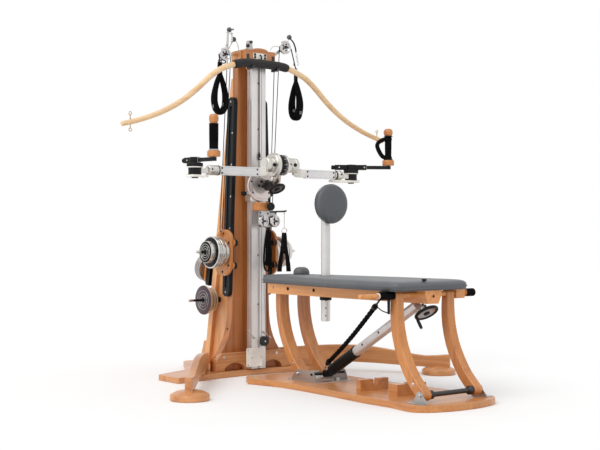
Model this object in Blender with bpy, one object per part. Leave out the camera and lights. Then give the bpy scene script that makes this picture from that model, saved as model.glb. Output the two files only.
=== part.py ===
"""Pulley tower with a height-adjustable bench, for yoga, pilates and therapy rooms.

Metres, +Z up. The origin is on the floor under the tower's column. +X points from the tower
to the bench, "left" is -Y and "right" is +Y. Every sub-part is one closed solid.
"""
import math

import bmesh
import bpy
from mathutils import Matrix, Vector

# General fits
GAP = 0.0003            # between faces that rest on each other
RUN = 0.0012            # round a turning pin
SLIDE_FIT = 0.0015      # beside a sliding face
EDGE = 0.003            # rounding of wooden edges

# Tower floor plate
BASE_T = 0.036
BASE_HALF = 0.65
BASE_FRONT_X = 0.165
BASE_FRONT_RISE = 0.095
BASE_END_X0 = 0.006
BASE_END_X1 = 0.250
BASE_WAIST_X = -0.120
BASE_WAIST_HALF = 0.350
BASE_TAIL_X = -0.560
BASE_TAIL_HALF = 0.115
BASE_CORNER_R = 0.022

# Column: the front board of the tower
COL_X0 = 0.045
COL_T = 0.060
COL_HALF_TOP = 0.105
COL_LEAN = 0.0333       # widening for each metre below the straight top part
COL_STRAIGHT_Z = 1.80
COL_FLARE = 0.118
COL_FLARE_Z0 = 0.10
COL_FLARE_Z1 = 0.42
COL_FLARE_POWER = 2.5
COL_X1 = COL_X0 + COL_T

# Head block
HEAD_Z0 = 2.045
HEAD_H = 0.064
HEAD_HALF = 0.120
HEAD_X0 = 0.050
HEAD_X1 = 0.2126
HEAD_CAP_HALF = 0.062
HEAD_CAP_RISE = 0.016

# Guide rail
RAIL_X0 = 0.1412
RAIL_DEPTH = 0.050
RAIL_HALF = 0.056
RAIL_Z0 = 0.045
RAIL_GROOVE_W = 0.018
RAIL_GROOVE_D = 0.012
RAIL_SIDE_GROOVE_W = 0.012
RAIL_SIDE_GROOVE_D = 0.007
RAIL_WEB_HALF = 0.020
RAIL_X1 = RAIL_X0 + RAIL_DEPTH

# Web, spine and rear rail
SPINE_TOP_Z = 1.95
SPINE_TOP_X = -0.057
SPINE_SLOPE = 0.170
SPINE_T = 0.050
SPINE_HALF = 0.045
WEB_HALF = 0.018
REAR_RAIL_T = 0.024
REAR_RAIL_HALF = 0.024
HEEL_TOP = 0.042
HEEL_FOOT = 0.072
HEEL_HALF = 0.035
REAR_RAIL_Z0 = 0.190

# Front cross board
CROSS_HALF = 0.300
CROSS_TOP_Z = 0.152
CROSS_T = 0.035
CROSS_CORNER_R = 0.075
CROSS_ARCH_Y = 0.150
CROSS_ARCH_HALF = 0.080
CROSS_ARCH_Z = 0.086

# Diagonal legs and round feet
LEG_ROOT = (0.0, 0.290)
FOOT_CENTRE = (0.872, 0.962)
LEG_T = 0.043
LEG_OVERHANG = 0.075
LEG_TOP = [(-0.03, 0.146), (0.10, 0.157), (0.25, 0.171), (0.42, 0.180), (0.60, 0.172),
           (0.78, 0.142), (0.92, 0.120)]
LEG_TIP_TOP_Z = 0.132
LEG_BOTTOM_MID = 0.068
LEG_BOTTOM_FOOT = 0.050
FOOT_R = 0.110
FOOT_RIM_H = 0.034
FOOT_CROWN_H = 0.058

# Side tracks
TRACK_Z0 = 0.51
TRACK_Z1 = 1.81
TRACK_X0 = 0.030
TRACK_X1 = 0.105
TRACK_T = 0.028
TRACK_GROOVE_W = 0.026
TRACK_GROOVE_D = 0.010

# Side weights, measured from the track's outer face
PADDLE_W = 0.180
PADDLE_H = 0.300
PADDLE_T = 0.020
PADDLE_X = 0.060
PADDLE_Z = TRACK_Z0 + 0.285
PADDLE_GAP = 0.003
ROLLER_R = 0.022
ROLLER_X = 0.146
ROLLER_UP = 0.065
ROLLER_DOWN = 0.082
ROLLER_LEN = 0.024
STACK_BACK_R = 0.076
STACK_BIG_R = 0.100
STACK_FRONT_R = 0.065
STACK_BACK_DISCS = 3
STACK_DISC_T = 0.025
STACK_STEP = 0.004
STACK_BIG_T = 0.016
STACK_FRONT_T = 0.038
SPINDLE_R = 0.008
SPINDLE_END = 0.070
CLEVIS_X = 0.050

# Storage pegs on the web
STORE_X = -0.235
STORE_Z = 0.474
STORE_R = 0.090
STORE_DISCS = 4
STORE_DISC_T = 0.0175
STORE_STEP = 0.003
STORE_GAP = 0.064
STORE_PEG_END = 0.115

# Rear weights
REAR_Z = 0.670
REAR_R = 0.098
REAR_PADDLE_W = 0.120
REAR_PADDLE_H = 0.220
REAR_BLOCK_HALF = 0.025
REAR_BLOCK_H = 0.160
REAR_STAND_OFF = 0.041
REAR_FIT = 0.003

# Top pulleys and their hangers
PULLEY_X = 0.150
PULLEY_W = 0.014
AXLE_R = 0.005
LEFT_PULLEY = (-0.237, 2.071, 0.042)      # y, z, radius
RIGHT_PULLEY = (0.247, 2.163, 0.045)
LEFT_BALLS = [(-0.195, 2.234), (-0.160, 2.176)]
RIGHT_BALLS = [(0.292, 2.237)]
BALL_R = 0.016
HANGER_T = 0.008
HANGER_W = 0.018
FLANGE_T = 0.010

# Ropes
ROPE_R = 0.0028
ROPE_SIDES = 2          # curve bevel resolution

# Stirrups
STIRRUP_X = 0.150
LEFT_STIRRUP_Y = -0.276
RIGHT_STIRRUP_Y = 0.338
STIRRUP_Z0 = 1.678
STIRRUP_H = 0.268
STIRRUP_HALF = 0.050
STIRRUP_PAD_T = 0.034
STIRRUP_PAD_W = 0.056
STIRRUP_STRAP_W = 0.036
LINE_R = 0.0045

# Handle unit
HUB_X = 0.390
HUB_Z = 1.357
HUB_Y0 = -0.072
HUB_Y1 = 0.125
HUB_NEAR_R = 0.049
HUB_DISC_R = 0.0765
HUB_RING_R = 0.066
HUB_FAR_R = 0.047
HUB_DISC_Y0 = -0.043
HUB_DISC_Y1 = -0.013
HUB_RING_Y1 = 0.060
PLATE_R = 0.100
PLATE_Z = 1.230
PLATE_T = 0.012
SADDLE_HALF_H = 0.100
SADDLE_T = 0.012
NECK_R = 0.026
NECK_START = (0.052, 1.235)
NECK_MIDDLE = [(0.300, 0.048, 1.240), (0.372, 0.012, 1.270)]
NECK_END = (0.385, 0.0, 1.335)
KNOB_R = 0.014
KNOB_L = 0.045

# Arms and turning heads (given for +Y, mirrored for -Y)
ARM_Z = 1.307
ARM_H = 0.057
ARM_T = 0.030
LEFT_ARM_END = 0.445
RIGHT_ARM_END = 0.472
LEFT_BAR_START = 0.150
RIGHT_BAR_START = 0.224
ARM_WEDGE_T = 0.026
ARM_ROOT_R = 0.0475
ARM_ROOT_T = 0.024
KNUCKLE_R = 0.031
KNUCKLE_END = 0.532
HEAD_Y = 0.620
HOUSING_R = 0.040
HOUSING_H = 0.036
HOUSING_PLATE_R = 0.050
HOUSING_PLATE_T = 0.005
BOARD_HALF = 0.050
BOARD_Z0 = 1.2615
BOARD_Z1 = 1.2745
LEFT_BOARD_START = 0.540
RIGHT_BOARD_START = 0.450
BOARD_END = 0.670

# Cranks
CRANK_HUB_R = 0.034
CRANK_FLANGE_R = 0.050
CRANK_FLANGE_H = 0.020
CRANK_GAP = 0.002
CRANK_HUB_H = 0.050
CRANK_BAR_W = 0.028
CRANK_BAR_H = 0.023
CRANK_SLEEVE_W = 0.032
CRANK_SLEEVE_H = 0.034
CRANK_STEM_H = 0.028
CRANK_KNOB_L = 0.022
CRANK_SHAFT_R = 0.010
LEFT_REACH = 0.161
LEFT_ANGLE = 11.4       # degrees from +X
LEFT_TAIL = 0.103
LEFT_SLEEVE = 0.036
RIGHT_REACH = 0.252
RIGHT_ANGLE = 56.5
RIGHT_TAIL = 0.133
RIGHT_SLEEVE = 0.103

# Grips
GRIP_RING_R = 0.040
GRIP_RING_H = 0.036
GRIP_H = 0.158
LEFT_GRIP = (0.028, 0.029, 0.062)      # sleeve radius, knob radius, knob height
RIGHT_GRIP = (0.024, 0.031, 0.054)
GRIP_PIN_R = 0.006
GRIP_LIFT = 0.001
HAND_LOOP_REACH = 0.0725
HAND_LOOP_T = 0.028
HAND_LOOP_W = 0.030

# Height wheel under the hub
WHEEL_R = 0.055
WHEEL_RIM_R = 0.007
WHEEL_TILT = -32.0
WHEEL_CENTRE = (0.392, 0.0, 1.205)
WHEEL_STEM = 0.040
WHEEL_STEM_R = 0.007
WHEEL_CRANK_L = 0.040

# Stop block, yoke and small pulleys
BLOCK_X1 = 0.262
BLOCK_HALF = 0.045
BLOCK_Z0 = 1.068
BLOCK_H = 0.054
BLOCK_KNOB_R = 0.027
BLOCK_KNOB_Y = 0.030
BLOCK_KNOB_L = 0.036
YOKE_T = 0.010
YOKE_HALF = 0.072
YOKE_Z0 = 0.962
SMALL_PULLEY_Y = 0.046
SMALL_PULLEY_SHIFT = 0.023
SMALL_PULLEY_Z = 1.000
SMALL_PULLEY_R = 0.036
SMALL_PULLEY_W = 0.014
SMALL_PULLEY_GAP = 0.010
HOOK_Z = 1.060
HOOK_Y = 0.130

# Hanging straps
STRAP_X = 0.320
STRAP_T = 0.018
LEFT_STRAP_Y = -0.020
LEFT_STRAP_HALF = 0.034
RIGHT_STRAP_Y = 0.112
RIGHT_STRAP_HALF = 0.056
STRAP_Z0 = 0.670
RIGHT_STRAP_Z1 = 0.925
LEFT_STRAP_Z1 = 0.945

# Arched bar
BAR_X = 0.245
BAR_R = 0.0185
BAR_TIP_R = 0.0155
BAR_HALF_ROUTE = [(0.0, 2.016), (0.12, 2.015), (0.20, 2.004), (0.27, 1.983), (0.35, 1.948), (0.43, 1.890),
                  (0.51, 1.820), (0.60, 1.751), (0.70, 1.691), (0.80, 1.644), (0.92, 1.601), (1.037, 1.570)]
SLEEVE_T = 0.0095
SLEEVE_HALF = 0.2145
SLEEVE_SHIFT = -0.0215
HOOK_ARM_W = 0.020
HOOK_ARM_T = 0.010
HOOK_FIT = 0.0006

# Floor pulley
FLOOR_PULLEY = (0.203, 0.038, 0.220)
FLOOR_PULLEY_R = 0.032
FLOOR_PULLEY_W = 0.016

# Bench floor plate and cradles
BENCH_T = 0.036
LEG_REAR_FOOT_X = 0.765
LEG_FRONT_FOOT_X = 1.925
LEG_TOP_SHIFT = -0.205
REAR_TOP_X = LEG_REAR_FOOT_X + LEG_TOP_SHIFT
FRONT_TOP_X = LEG_FRONT_FOOT_X + LEG_TOP_SHIFT
BENCH_X0 = LEG_REAR_FOOT_X - 0.340
BENCH_X1 = LEG_FRONT_FOOT_X + 0.145
BENCH_LEFT_HALF = 0.270
BENCH_SHOULDER_HALF = 0.318
BENCH_WAIST_HALF = 0.252
BENCH_RIGHT_HALF = 0.308
CRADLE_H = 0.064
CRADLES = [(LEG_FRONT_FOOT_X - 0.570, LEG_FRONT_FOOT_X - 0.535, -0.166, 0.045),
           (LEG_FRONT_FOOT_X - 0.325, LEG_FRONT_FOOT_X - 0.255, -0.146, 0.070)]
CRADLE_NOTCH_Y = -0.052
CRADLE_NOTCH = 0.042
CRADLE_NOTCH_D = 0.040

# Bench legs
LEG_PIVOT_Z = 0.075
LEG_RISE = 0.513
BENCH_LEG_BOW = [(0.0, 0.0), (-0.072, 0.070), (-0.127, 0.150), (-0.172, 0.240), (-0.199, 0.340),
                 (-0.207, 0.430), (LEG_TOP_SHIFT, 0.513)]
LEG_TOP_R = 0.0222
REAR_LEG_W = 0.050
REAR_LEG_T = 0.070
REAR_LEG_Y = 0.084
FRONT_LEG_W = 0.058
FRONT_LEG_T = 0.057
FRONT_LEG_Y = 0.192
LEG_AXLE_R = 0.008
FOOT_SHAFT_R = 0.016
BRACKET_T = 0.004
BRACKET_HALF_L = 0.060
REAR_BRACKET_TOP_Z = 0.101

# Bench top
PAD_X0 = REAR_TOP_X - 0.130
PAD_X1 = FRONT_TOP_X + 0.092
PAD_T = 0.053
PAD_LEFT_HALF = 0.170
PAD_RIGHT_HALF = 0.280
PAD_Z0 = 0.612
BUMP_X = PAD_X0 + 0.213
BUMP_L = 0.084
BUMP_HALF = 0.050
BUMP_H = 0.050
FRAME_H = 0.062
FRAME_RAIL_T = 0.030
FRAME_LEFT_HALF = 0.138
FRAME_RIGHT_HALF = 0.1445
FRAME_X0 = REAR_TOP_X - 0.060
FRAME_X1 = FRONT_TOP_X - 0.060
DOWEL_R = 0.016
DOWEL_GRIP_R = 0.021
DOWEL_TIP_R = 0.0125
DOWEL_TIP_L = 0.139
DOWEL_Y0 = -0.324
DOWEL_Y1 = 0.390
DOWEL_GRIP_L = 0.098
DOWEL_CAP_L = 0.070
SIDE_BLOCK_Y0 = 0.226
SIDE_BLOCK_L = 0.066
END_BLOCK_X0 = FRONT_TOP_X - 0.160
END_BLOCK_X1 = FRONT_TOP_X + 0.080
END_BLOCK_HALF = 0.062

# Head post and pad
POST_X = PAD_X0 + 0.450
POST_R = 0.0278
POST_Z0 = 0.392
POST_Z1 = 1.185
POST_FIT = 0.002
HEADPAD_R = 0.1175
HEADPAD_T = 0.052
HEADPAD_Z = 1.098
HEADPAD_CROWN = 0.010

# Jack strut
STRUT_FOOT = (LEG_REAR_FOOT_X + 0.135, 0.080)
STRUT_TOP = (FRONT_TOP_X - 0.055, 0.520)
STRUT_R = 0.029
STRUT_LOWER_R = 0.033
STRUT_LOWER_L = 0.300
STRUT_PIN_R = 0.007
STRUT_EYE_HALF = 0.026
STRUT_BORE_FIT = 0.0015
JACK_WHEEL_CENTRE = (FRONT_TOP_X + 0.025, 0.0, 0.488)
JACK_WHEEL_R = 0.070
JACK_WHEEL_TILT = -35.0
JACK_STEM = 0.055
JACK_CRANK_L = 0.076

# Tension cord
CORD_R = 0.011
CORD_TOP = (FRONT_TOP_X - 0.092, -0.262, 0.532)
CORD_BOTTOM = (STRUT_FOOT[0] + 0.068, -0.060, 0.148)

FACETS = 14
FINE_FACETS = 20

scene = bpy.context.scene


def clear_scene():
    for old in list(bpy.data.objects):
        bpy.data.objects.remove(old, do_unlink=True)


def material(name, colour, roughness, metallic=0.0):
    """A Principled material of one plain colour."""
    found = bpy.data.materials.get(name)
    if found:
        return found
    made = bpy.data.materials.new(name)
    made.use_nodes = True
    shader = made.node_tree.nodes["Principled BSDF"]
    shader.inputs["Base Color"].default_value = (*colour, 1.0)
    shader.inputs["Roughness"].default_value = roughness
    shader.inputs["Metallic"].default_value = metallic
    return made


def wood():
    return material("wood", (0.62, 0.33, 0.13), 0.45)


def wood_light():
    return material("wood_light", (0.72, 0.47, 0.24), 0.45)


def aluminium():
    return material("aluminium", (0.70, 0.70, 0.71), 0.35, 0.9)


def chrome():
    return material("chrome", (0.78, 0.78, 0.78), 0.12, 1.0)


def black():
    return material("black", (0.02, 0.02, 0.022), 0.5)


def grey_pad():
    return material("grey_pad", (0.14, 0.15, 0.165), 0.55)


def steel():
    return material("steel", (0.55, 0.55, 0.56), 0.35, 0.8)


def to_object(name, bm, slot=None):
    """Turn a bmesh into a named object with outward faces and smooth round sides."""
    bmesh.ops.recalc_face_normals(bm, faces=bm.faces)
    mesh = bpy.data.meshes.new(name)
    bm.to_mesh(mesh)
    bm.free()
    made = bpy.data.objects.new(name, mesh)
    scene.collection.objects.link(made)
    if slot is not None:
        mesh.materials.append(slot)
    mesh.shade_smooth()
    mesh.set_sharp_from_angle(angle=math.radians(34))
    return made


def boolean(target, tool, operation):
    """Apply one exact boolean to target and remove the tool."""
    step = target.modifiers.new(operation.lower(), "BOOLEAN")
    step.operation = operation
    step.solver = "EXACT"
    step.object = tool
    bpy.context.view_layer.update()
    graph = bpy.context.evaluated_depsgraph_get()
    result = bpy.data.meshes.new_from_object(target.evaluated_get(graph))
    target.modifiers.clear()
    old = target.data
    target.data = result
    bpy.data.meshes.remove(old)
    bpy.data.objects.remove(tool, do_unlink=True)


def fuse(name, slot, shapes, cuts=()):
    """One object made of shapes joined together, less the cuts. Both are lists of bmeshes."""
    made = to_object(name, shapes[0], slot)
    for shape in shapes[1:]:
        boolean(made, to_object(name + "_add", shape, slot), "UNION")
    for cut in cuts:
        boolean(made, to_object(name + "_cut", cut, slot), "DIFFERENCE")
    mesh = made.data
    mesh.name = name
    work = bmesh.new()
    work.from_mesh(mesh)
    bmesh.ops.remove_doubles(work, verts=work.verts, dist=0.00001)
    bmesh.ops.dissolve_limit(work, angle_limit=0.002, verts=work.verts, edges=work.edges)
    work.to_mesh(mesh)
    work.free()
    mesh.materials.clear()
    mesh.materials.append(slot)
    mesh.shade_smooth()
    mesh.set_sharp_from_angle(angle=math.radians(34))
    return made


def set_origin(made, point):
    """Move an object's origin to a point on its joint's axis, leaving the shape in place."""
    shift = Vector(point) - made.location
    made.data.transform(Matrix.Translation(-shift))
    made.location = Vector(point)


def moved(bm, matrix):
    bmesh.ops.transform(bm, matrix=matrix, verts=bm.verts)
    return bm


def mirrored(bm, side):
    """Flip a shape made for +Y to the other side when side is -1."""
    if side < 0:
        bmesh.ops.scale(bm, vec=(1.0, -1.0, 1.0), verts=bm.verts)
        bmesh.ops.reverse_faces(bm, faces=bm.faces)
    return bm


def box(x0, x1, y0, y1, z0, z1):
    bm = bmesh.new()
    bmesh.ops.create_cube(bm, size=1.0)
    bmesh.ops.scale(bm, vec=(abs(x1 - x0), abs(y1 - y0), abs(z1 - z0)), verts=bm.verts)
    bmesh.ops.translate(bm, vec=((x0 + x1) / 2, (y0 + y1) / 2, (z0 + z1) / 2), verts=bm.verts)
    return bm


def slab(points, plane, lo, hi, edge=0.0):
    """A flat board: an outline in the XY, XZ or YZ plane, as thick as lo to hi on the third axis."""
    place = {"XY": lambda a, b, c: (a, b, c), "XZ": lambda a, b, c: (a, c, b),
             "YZ": lambda a, b, c: (c, a, b)}[plane]
    bm = bmesh.new()
    rings = [[bm.verts.new(place(a, b, level)) for a, b in points] for level in (lo, hi)]
    bm.faces.new(rings[0])
    bm.faces.new(rings[1])
    count = len(points)
    for i in range(count):
        j = (i + 1) % count
        bm.faces.new((rings[0][i], rings[0][j], rings[1][j], rings[1][i]))
    bmesh.ops.recalc_face_normals(bm, faces=bm.faces)
    if edge > 0.0:
        bm.edges.ensure_lookup_table()
        rim = [e for e in bm.edges if len(e.link_faces) == 2 and max(len(f.verts) for f in e.link_faces) > 4]
        bmesh.ops.bevel(bm, geom=rim, offset=edge, segments=1, profile=0.5, affect="EDGES", clamp_overlap=True)
    return bm


def arc(cx, cy, radius, start, end, steps):
    """Points on an arc, angles in degrees."""
    turn = [math.radians(start + (end - start) * i / steps) for i in range(steps + 1)]
    return [(cx + radius * math.cos(t), cy + radius * math.sin(t)) for t in turn]


def rounded_rect(x0, x1, y0, y1, radius, steps=5):
    points = arc(x1 - radius, y1 - radius, radius, 0, 90, steps)
    points += arc(x0 + radius, y1 - radius, radius, 90, 180, steps)
    points += arc(x0 + radius, y0 + radius, radius, 180, 270, steps)
    points += arc(x1 - radius, y0 + radius, radius, 270, 360, steps)
    return points


def turned(profile, axis, centre, facets=FACETS):
    """A turned solid. profile is (radius, height) from one end of the axis to the other."""
    bm = bmesh.new()
    rings = []
    for radius, height in profile:
        if radius < 1e-6:
            rings.append([bm.verts.new((0.0, 0.0, height))])
            continue
        angles = [2 * math.pi * i / facets for i in range(facets)]
        rings.append([bm.verts.new((radius * math.cos(a), radius * math.sin(a), height)) for a in angles])
    for low, high in zip(rings, rings[1:]):
        for i in range(facets):
            j = (i + 1) % facets
            if len(low) == 1 and len(high) > 1:
                bm.faces.new((low[0], high[j], high[i]))
            elif len(high) == 1 and len(low) > 1:
                bm.faces.new((low[i], low[j], high[0]))
            elif len(low) > 1:
                bm.faces.new((low[i], low[j], high[j], high[i]))
    for ring in (rings[0], rings[-1]):
        if len(ring) > 1:
            bm.faces.new(ring)
    return aligned(bm, axis, centre)


def turned_ring(profile, axis, centre, facets=FACETS):
    """A turned solid with a bore. profile is a closed loop of (radius, height)."""
    bm = bmesh.new()
    rings = []
    for radius, height in profile:
        angles = [2 * math.pi * i / facets for i in range(facets)]
        rings.append([bm.verts.new((radius * math.cos(a), radius * math.sin(a), height)) for a in angles])
    for k, low in enumerate(rings):
        high = rings[(k + 1) % len(rings)]
        for i in range(facets):
            j = (i + 1) % facets
            bm.faces.new((low[i], low[j], high[j], high[i]))
    return aligned(bm, axis, centre)


def aligned(bm, axis, centre):
    """Turn a shape made along +Z to lie along axis, and move it to centre."""
    turn = Vector((0, 0, 1)).rotation_difference(Vector(axis).normalized()).to_matrix().to_4x4()
    return moved(bm, Matrix.Translation(Vector(centre)) @ turn)


def rod(start, end, radius, facets=16):
    """A plain round bar between two points."""
    a = Vector(start)
    b = Vector(end)
    return turned([(radius, 0.0), (radius, (b - a).length)], b - a, a, facets)


def smooth_route(points, steps):
    """Points on a smooth curve through the given points."""
    pts = [Vector(p) for p in points]
    pts = [2 * pts[0] - pts[1]] + pts + [2 * pts[-1] - pts[-2]]
    route = []
    for p0, p1, p2, p3 in zip(pts, pts[1:], pts[2:], pts[3:]):
        for i in range(steps):
            t = i / steps
            a = 2 * p1
            b = (p2 - p0) * t
            c = (2 * p0 - 5 * p1 + 4 * p2 - p3) * t * t
            d = (3 * p1 - p0 - 3 * p2 + p3) * t * t * t
            route.append((a + b + c + d) / 2)
    route.append(pts[-2])
    return route


def sweep(route, sections, across, closed=False):
    """Sweep an oval section along a flat route. sections gives (half thickness, half width) at each
    point, thickness in the route's plane and width along the vector across."""
    bm = bmesh.new()
    across = Vector(across).normalized()
    count = len(route)
    facets = 8
    rings = []
    for i, point in enumerate(route):
        before = route[(i - 1) % count] if closed or i else route[i]
        after = route[(i + 1) % count] if closed or i < count - 1 else route[i]
        along = (Vector(after) - Vector(before)).normalized()
        inward = across.cross(along).normalized()
        thick, wide = sections[i]
        ring = []
        for k in range(facets):
            a = 2 * math.pi * k / facets
            ring.append(bm.verts.new(Vector(point) + inward * thick * math.cos(a) + across * wide * math.sin(a)))
        rings.append(ring)
    pairs = list(zip(rings, rings[1:]))
    if closed:
        pairs.append((rings[-1], rings[0]))
    for low, high in pairs:
        for k in range(facets):
            j = (k + 1) % facets
            bm.faces.new((low[k], low[j], high[j], high[k]))
    if not closed:
        bm.faces.new(rings[0])
        bm.faces.new(rings[-1])
    bmesh.ops.recalc_face_normals(bm, faces=bm.faces)
    return bm


def rope(name, points, radius, slot):
    """A curve with a round bevel and filled caps, along a smooth route."""
    curve = bpy.data.curves.new(name, "CURVE")
    curve.dimensions = "3D"
    curve.bevel_depth = radius
    curve.bevel_resolution = 1 if radius < 0.005 else ROPE_SIDES
    curve.use_fill_caps = True
    line = curve.splines.new("POLY")
    line.points.add(len(points) - 1)
    for target, point in zip(line.points, points):
        target.co = (*point, 1.0)
    curve.materials.append(slot)
    made = bpy.data.objects.new(name, curve)
    scene.collection.objects.link(made)
    return made


def column_half(z):
    """Half width of the column at height z: straight on top, leaning, then flared like a bell."""
    half = COL_HALF_TOP + COL_LEAN * max(0.0, COL_STRAIGHT_Z - z)
    if z < COL_FLARE_Z1:
        reach = min(1.0, (COL_FLARE_Z1 - z) / (COL_FLARE_Z1 - COL_FLARE_Z0))
        half += COL_FLARE * reach ** COL_FLARE_POWER
    return half


def tower_base():
    def front_x(y):
        return BASE_FRONT_X + BASE_FRONT_RISE * (y / BASE_HALF) ** 2

    steps = 8
    reach = BASE_HALF * 0.86
    front = [(front_x(reach * i / steps), reach * i / steps) for i in range(steps + 1)]
    corner = BASE_CORNER_R
    half = front[1:]
    half += arc(BASE_END_X1 - corner, BASE_HALF - corner, corner, 30, 90, 3)
    half += arc(BASE_END_X0 + corner, BASE_HALF - corner, corner, 90, 160, 3)
    half += [(BASE_WAIST_X, BASE_WAIST_HALF), (BASE_TAIL_X + corner, BASE_TAIL_HALF)]
    half += [(BASE_TAIL_X, BASE_TAIL_HALF - corner)]
    outline = [front[0]] + half + [(x, -y) for x, y in reversed(half)]
    fuse("tower_base_plate", wood(), [slab(outline, "XY", 0.0, BASE_T, EDGE)])


def tower_column():
    levels = [BASE_T + GAP, COL_FLARE_Z0]
    flare_steps = 7
    levels += [COL_FLARE_Z0 + (COL_FLARE_Z1 - COL_FLARE_Z0) * i / flare_steps for i in range(1, flare_steps + 1)]
    levels += [COL_STRAIGHT_Z, HEAD_Z0 - GAP]
    side = [(column_half(z), z) for z in levels]
    outline = side + [(-y, z) for y, z in reversed(side)]
    fuse("tower_column", wood(), [slab(outline, "YZ", COL_X0, COL_X1, EDGE)])


def spine_rear_x(z):
    """Rear face of the slanted spine at height z."""
    return SPINE_TOP_X - SPINE_SLOPE * (SPINE_TOP_Z - z)


def rear_frame():
    """Web board, slanted spine, its heel and the black rail on its back, joined in one solid."""
    foot = BASE_T + GAP
    inner = SPINE_T * 0.6
    top = SPINE_TOP_Z
    web = [(spine_rear_x(foot) + inner, foot), (spine_rear_x(top) + inner, top), (COL_X0 - GAP, top),
           (COL_X0 - GAP, foot)]
    spine = [(spine_rear_x(foot), foot), (spine_rear_x(top), top), (spine_rear_x(top) + SPINE_T, top),
             (spine_rear_x(foot) + SPINE_T, foot)]
    low = REAR_RAIL_Z0
    high = top - 0.02
    rail = [(spine_rear_x(low) - REAR_RAIL_T, low), (spine_rear_x(high) - REAR_RAIL_T, high),
            (spine_rear_x(high) + SPINE_T / 3, high), (spine_rear_x(low) + SPINE_T / 3, low)]
    lift = low - 0.005
    heel = [(spine_rear_x(lift) + SPINE_T / 3, lift), (spine_rear_x(lift) - HEEL_TOP, lift),
            (spine_rear_x(foot) - HEEL_FOOT, foot), (spine_rear_x(foot) + SPINE_T / 3, foot)]
    fuse("rear_frame", wood(), [slab(spine, "XZ", -SPINE_HALF, SPINE_HALF),
                                slab(web, "XZ", -WEB_HALF, WEB_HALF),
                                slab(rail, "XZ", -REAR_RAIL_HALF, REAR_RAIL_HALF),
                                slab(heel, "XZ", -HEEL_HALF, HEEL_HALF)])


def bar_centre_z():
    return BAR_HALF_ROUTE[0][1]


def hook_outline():
    """Side outline of a hook that the bar's sleeve lies in."""
    rest = BAR_R + SLEEVE_T + HOOK_FIT
    back = BAR_X - rest - 0.002
    under = bar_centre_z() - rest
    t = HOOK_ARM_T
    cradle = [(BAR_X + rest * math.sin(a), bar_centre_z() - rest * math.cos(a))
              for a in [math.radians(15 * i) for i in range(5)]]
    cradle = [(x, z - 0.0006) for x, z in cradle]
    lip = cradle[-1]
    return [(HEAD_X1 - 0.004, HEAD_Z0 + 0.014), (HEAD_X1 - 0.004, HEAD_Z0 + 0.040), (back, HEAD_Z0 + 0.034),
            (back, under - 0.0006)] + cradle + [(lip[0] + t * 0.7, lip[1] - 0.002), (lip[0] + t * 0.3, under - t * 0.4),
            (BAR_X + rest * 0.4, under - t), (back - t, under - t), (back - t, HEAD_Z0 + 0.012)]


def head_block():
    """Wooden head with its arched cap, a rope hole and two hooks for the bar."""
    top = HEAD_Z0 + HEAD_H
    cap = [(HEAD_CAP_HALF * math.cos(a), top + HEAD_CAP_RISE * math.sin(a))
           for a in [math.pi * i / 8 for i in range(9)]]
    outline = [(-HEAD_HALF, HEAD_Z0), (HEAD_HALF, HEAD_Z0), (HEAD_HALF, top)] + cap + [(-HEAD_HALF, top)]
    shapes = [slab(outline, "YZ", HEAD_X0, HEAD_X1, EDGE)]
    for side in (-1, 1):
        y = side * (HEAD_HALF - HOOK_ARM_W)
        shapes.append(slab(hook_outline(), "XZ", y - HOOK_ARM_W / 2, y + HOOK_ARM_W / 2))
    fuse("head_block", wood(), shapes)


def front_cross_board():
    r = CROSS_CORNER_R
    foot = BASE_T + GAP
    outline = [(-CROSS_HALF, foot)]
    for centre in (-CROSS_ARCH_Y, CROSS_ARCH_Y):
        arch = [(centre - CROSS_ARCH_HALF * math.cos(a), foot + (CROSS_ARCH_Z - foot) * math.sin(a))
                for a in [math.pi * i / 8 for i in range(9)]]
        outline += arch
    outline += [(CROSS_HALF, foot)]
    outline += arc(CROSS_HALF - r, CROSS_TOP_Z - r, r, 0, 90, 6)
    outline += arc(-CROSS_HALF + r, CROSS_TOP_Z - r, r, 90, 180, 6)
    x0 = COL_X1 + GAP
    fuse("front_cross_board", wood(), [slab(outline, "YZ", x0, x0 + CROSS_T, EDGE)])


def foot_profile(extra=0.0):
    crown = FOOT_CROWN_H + extra
    rim = FOOT_RIM_H + extra
    return [(FOOT_R - 0.004, 0.0), (FOOT_R, 0.004), (FOOT_R + extra, rim - 0.004), (FOOT_R - 0.003, rim),
            (FOOT_R * 0.70, rim + (crown - rim) * 0.62), (FOOT_R * 0.35, rim + (crown - rim) * 0.93), (0.0, crown)]


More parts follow.
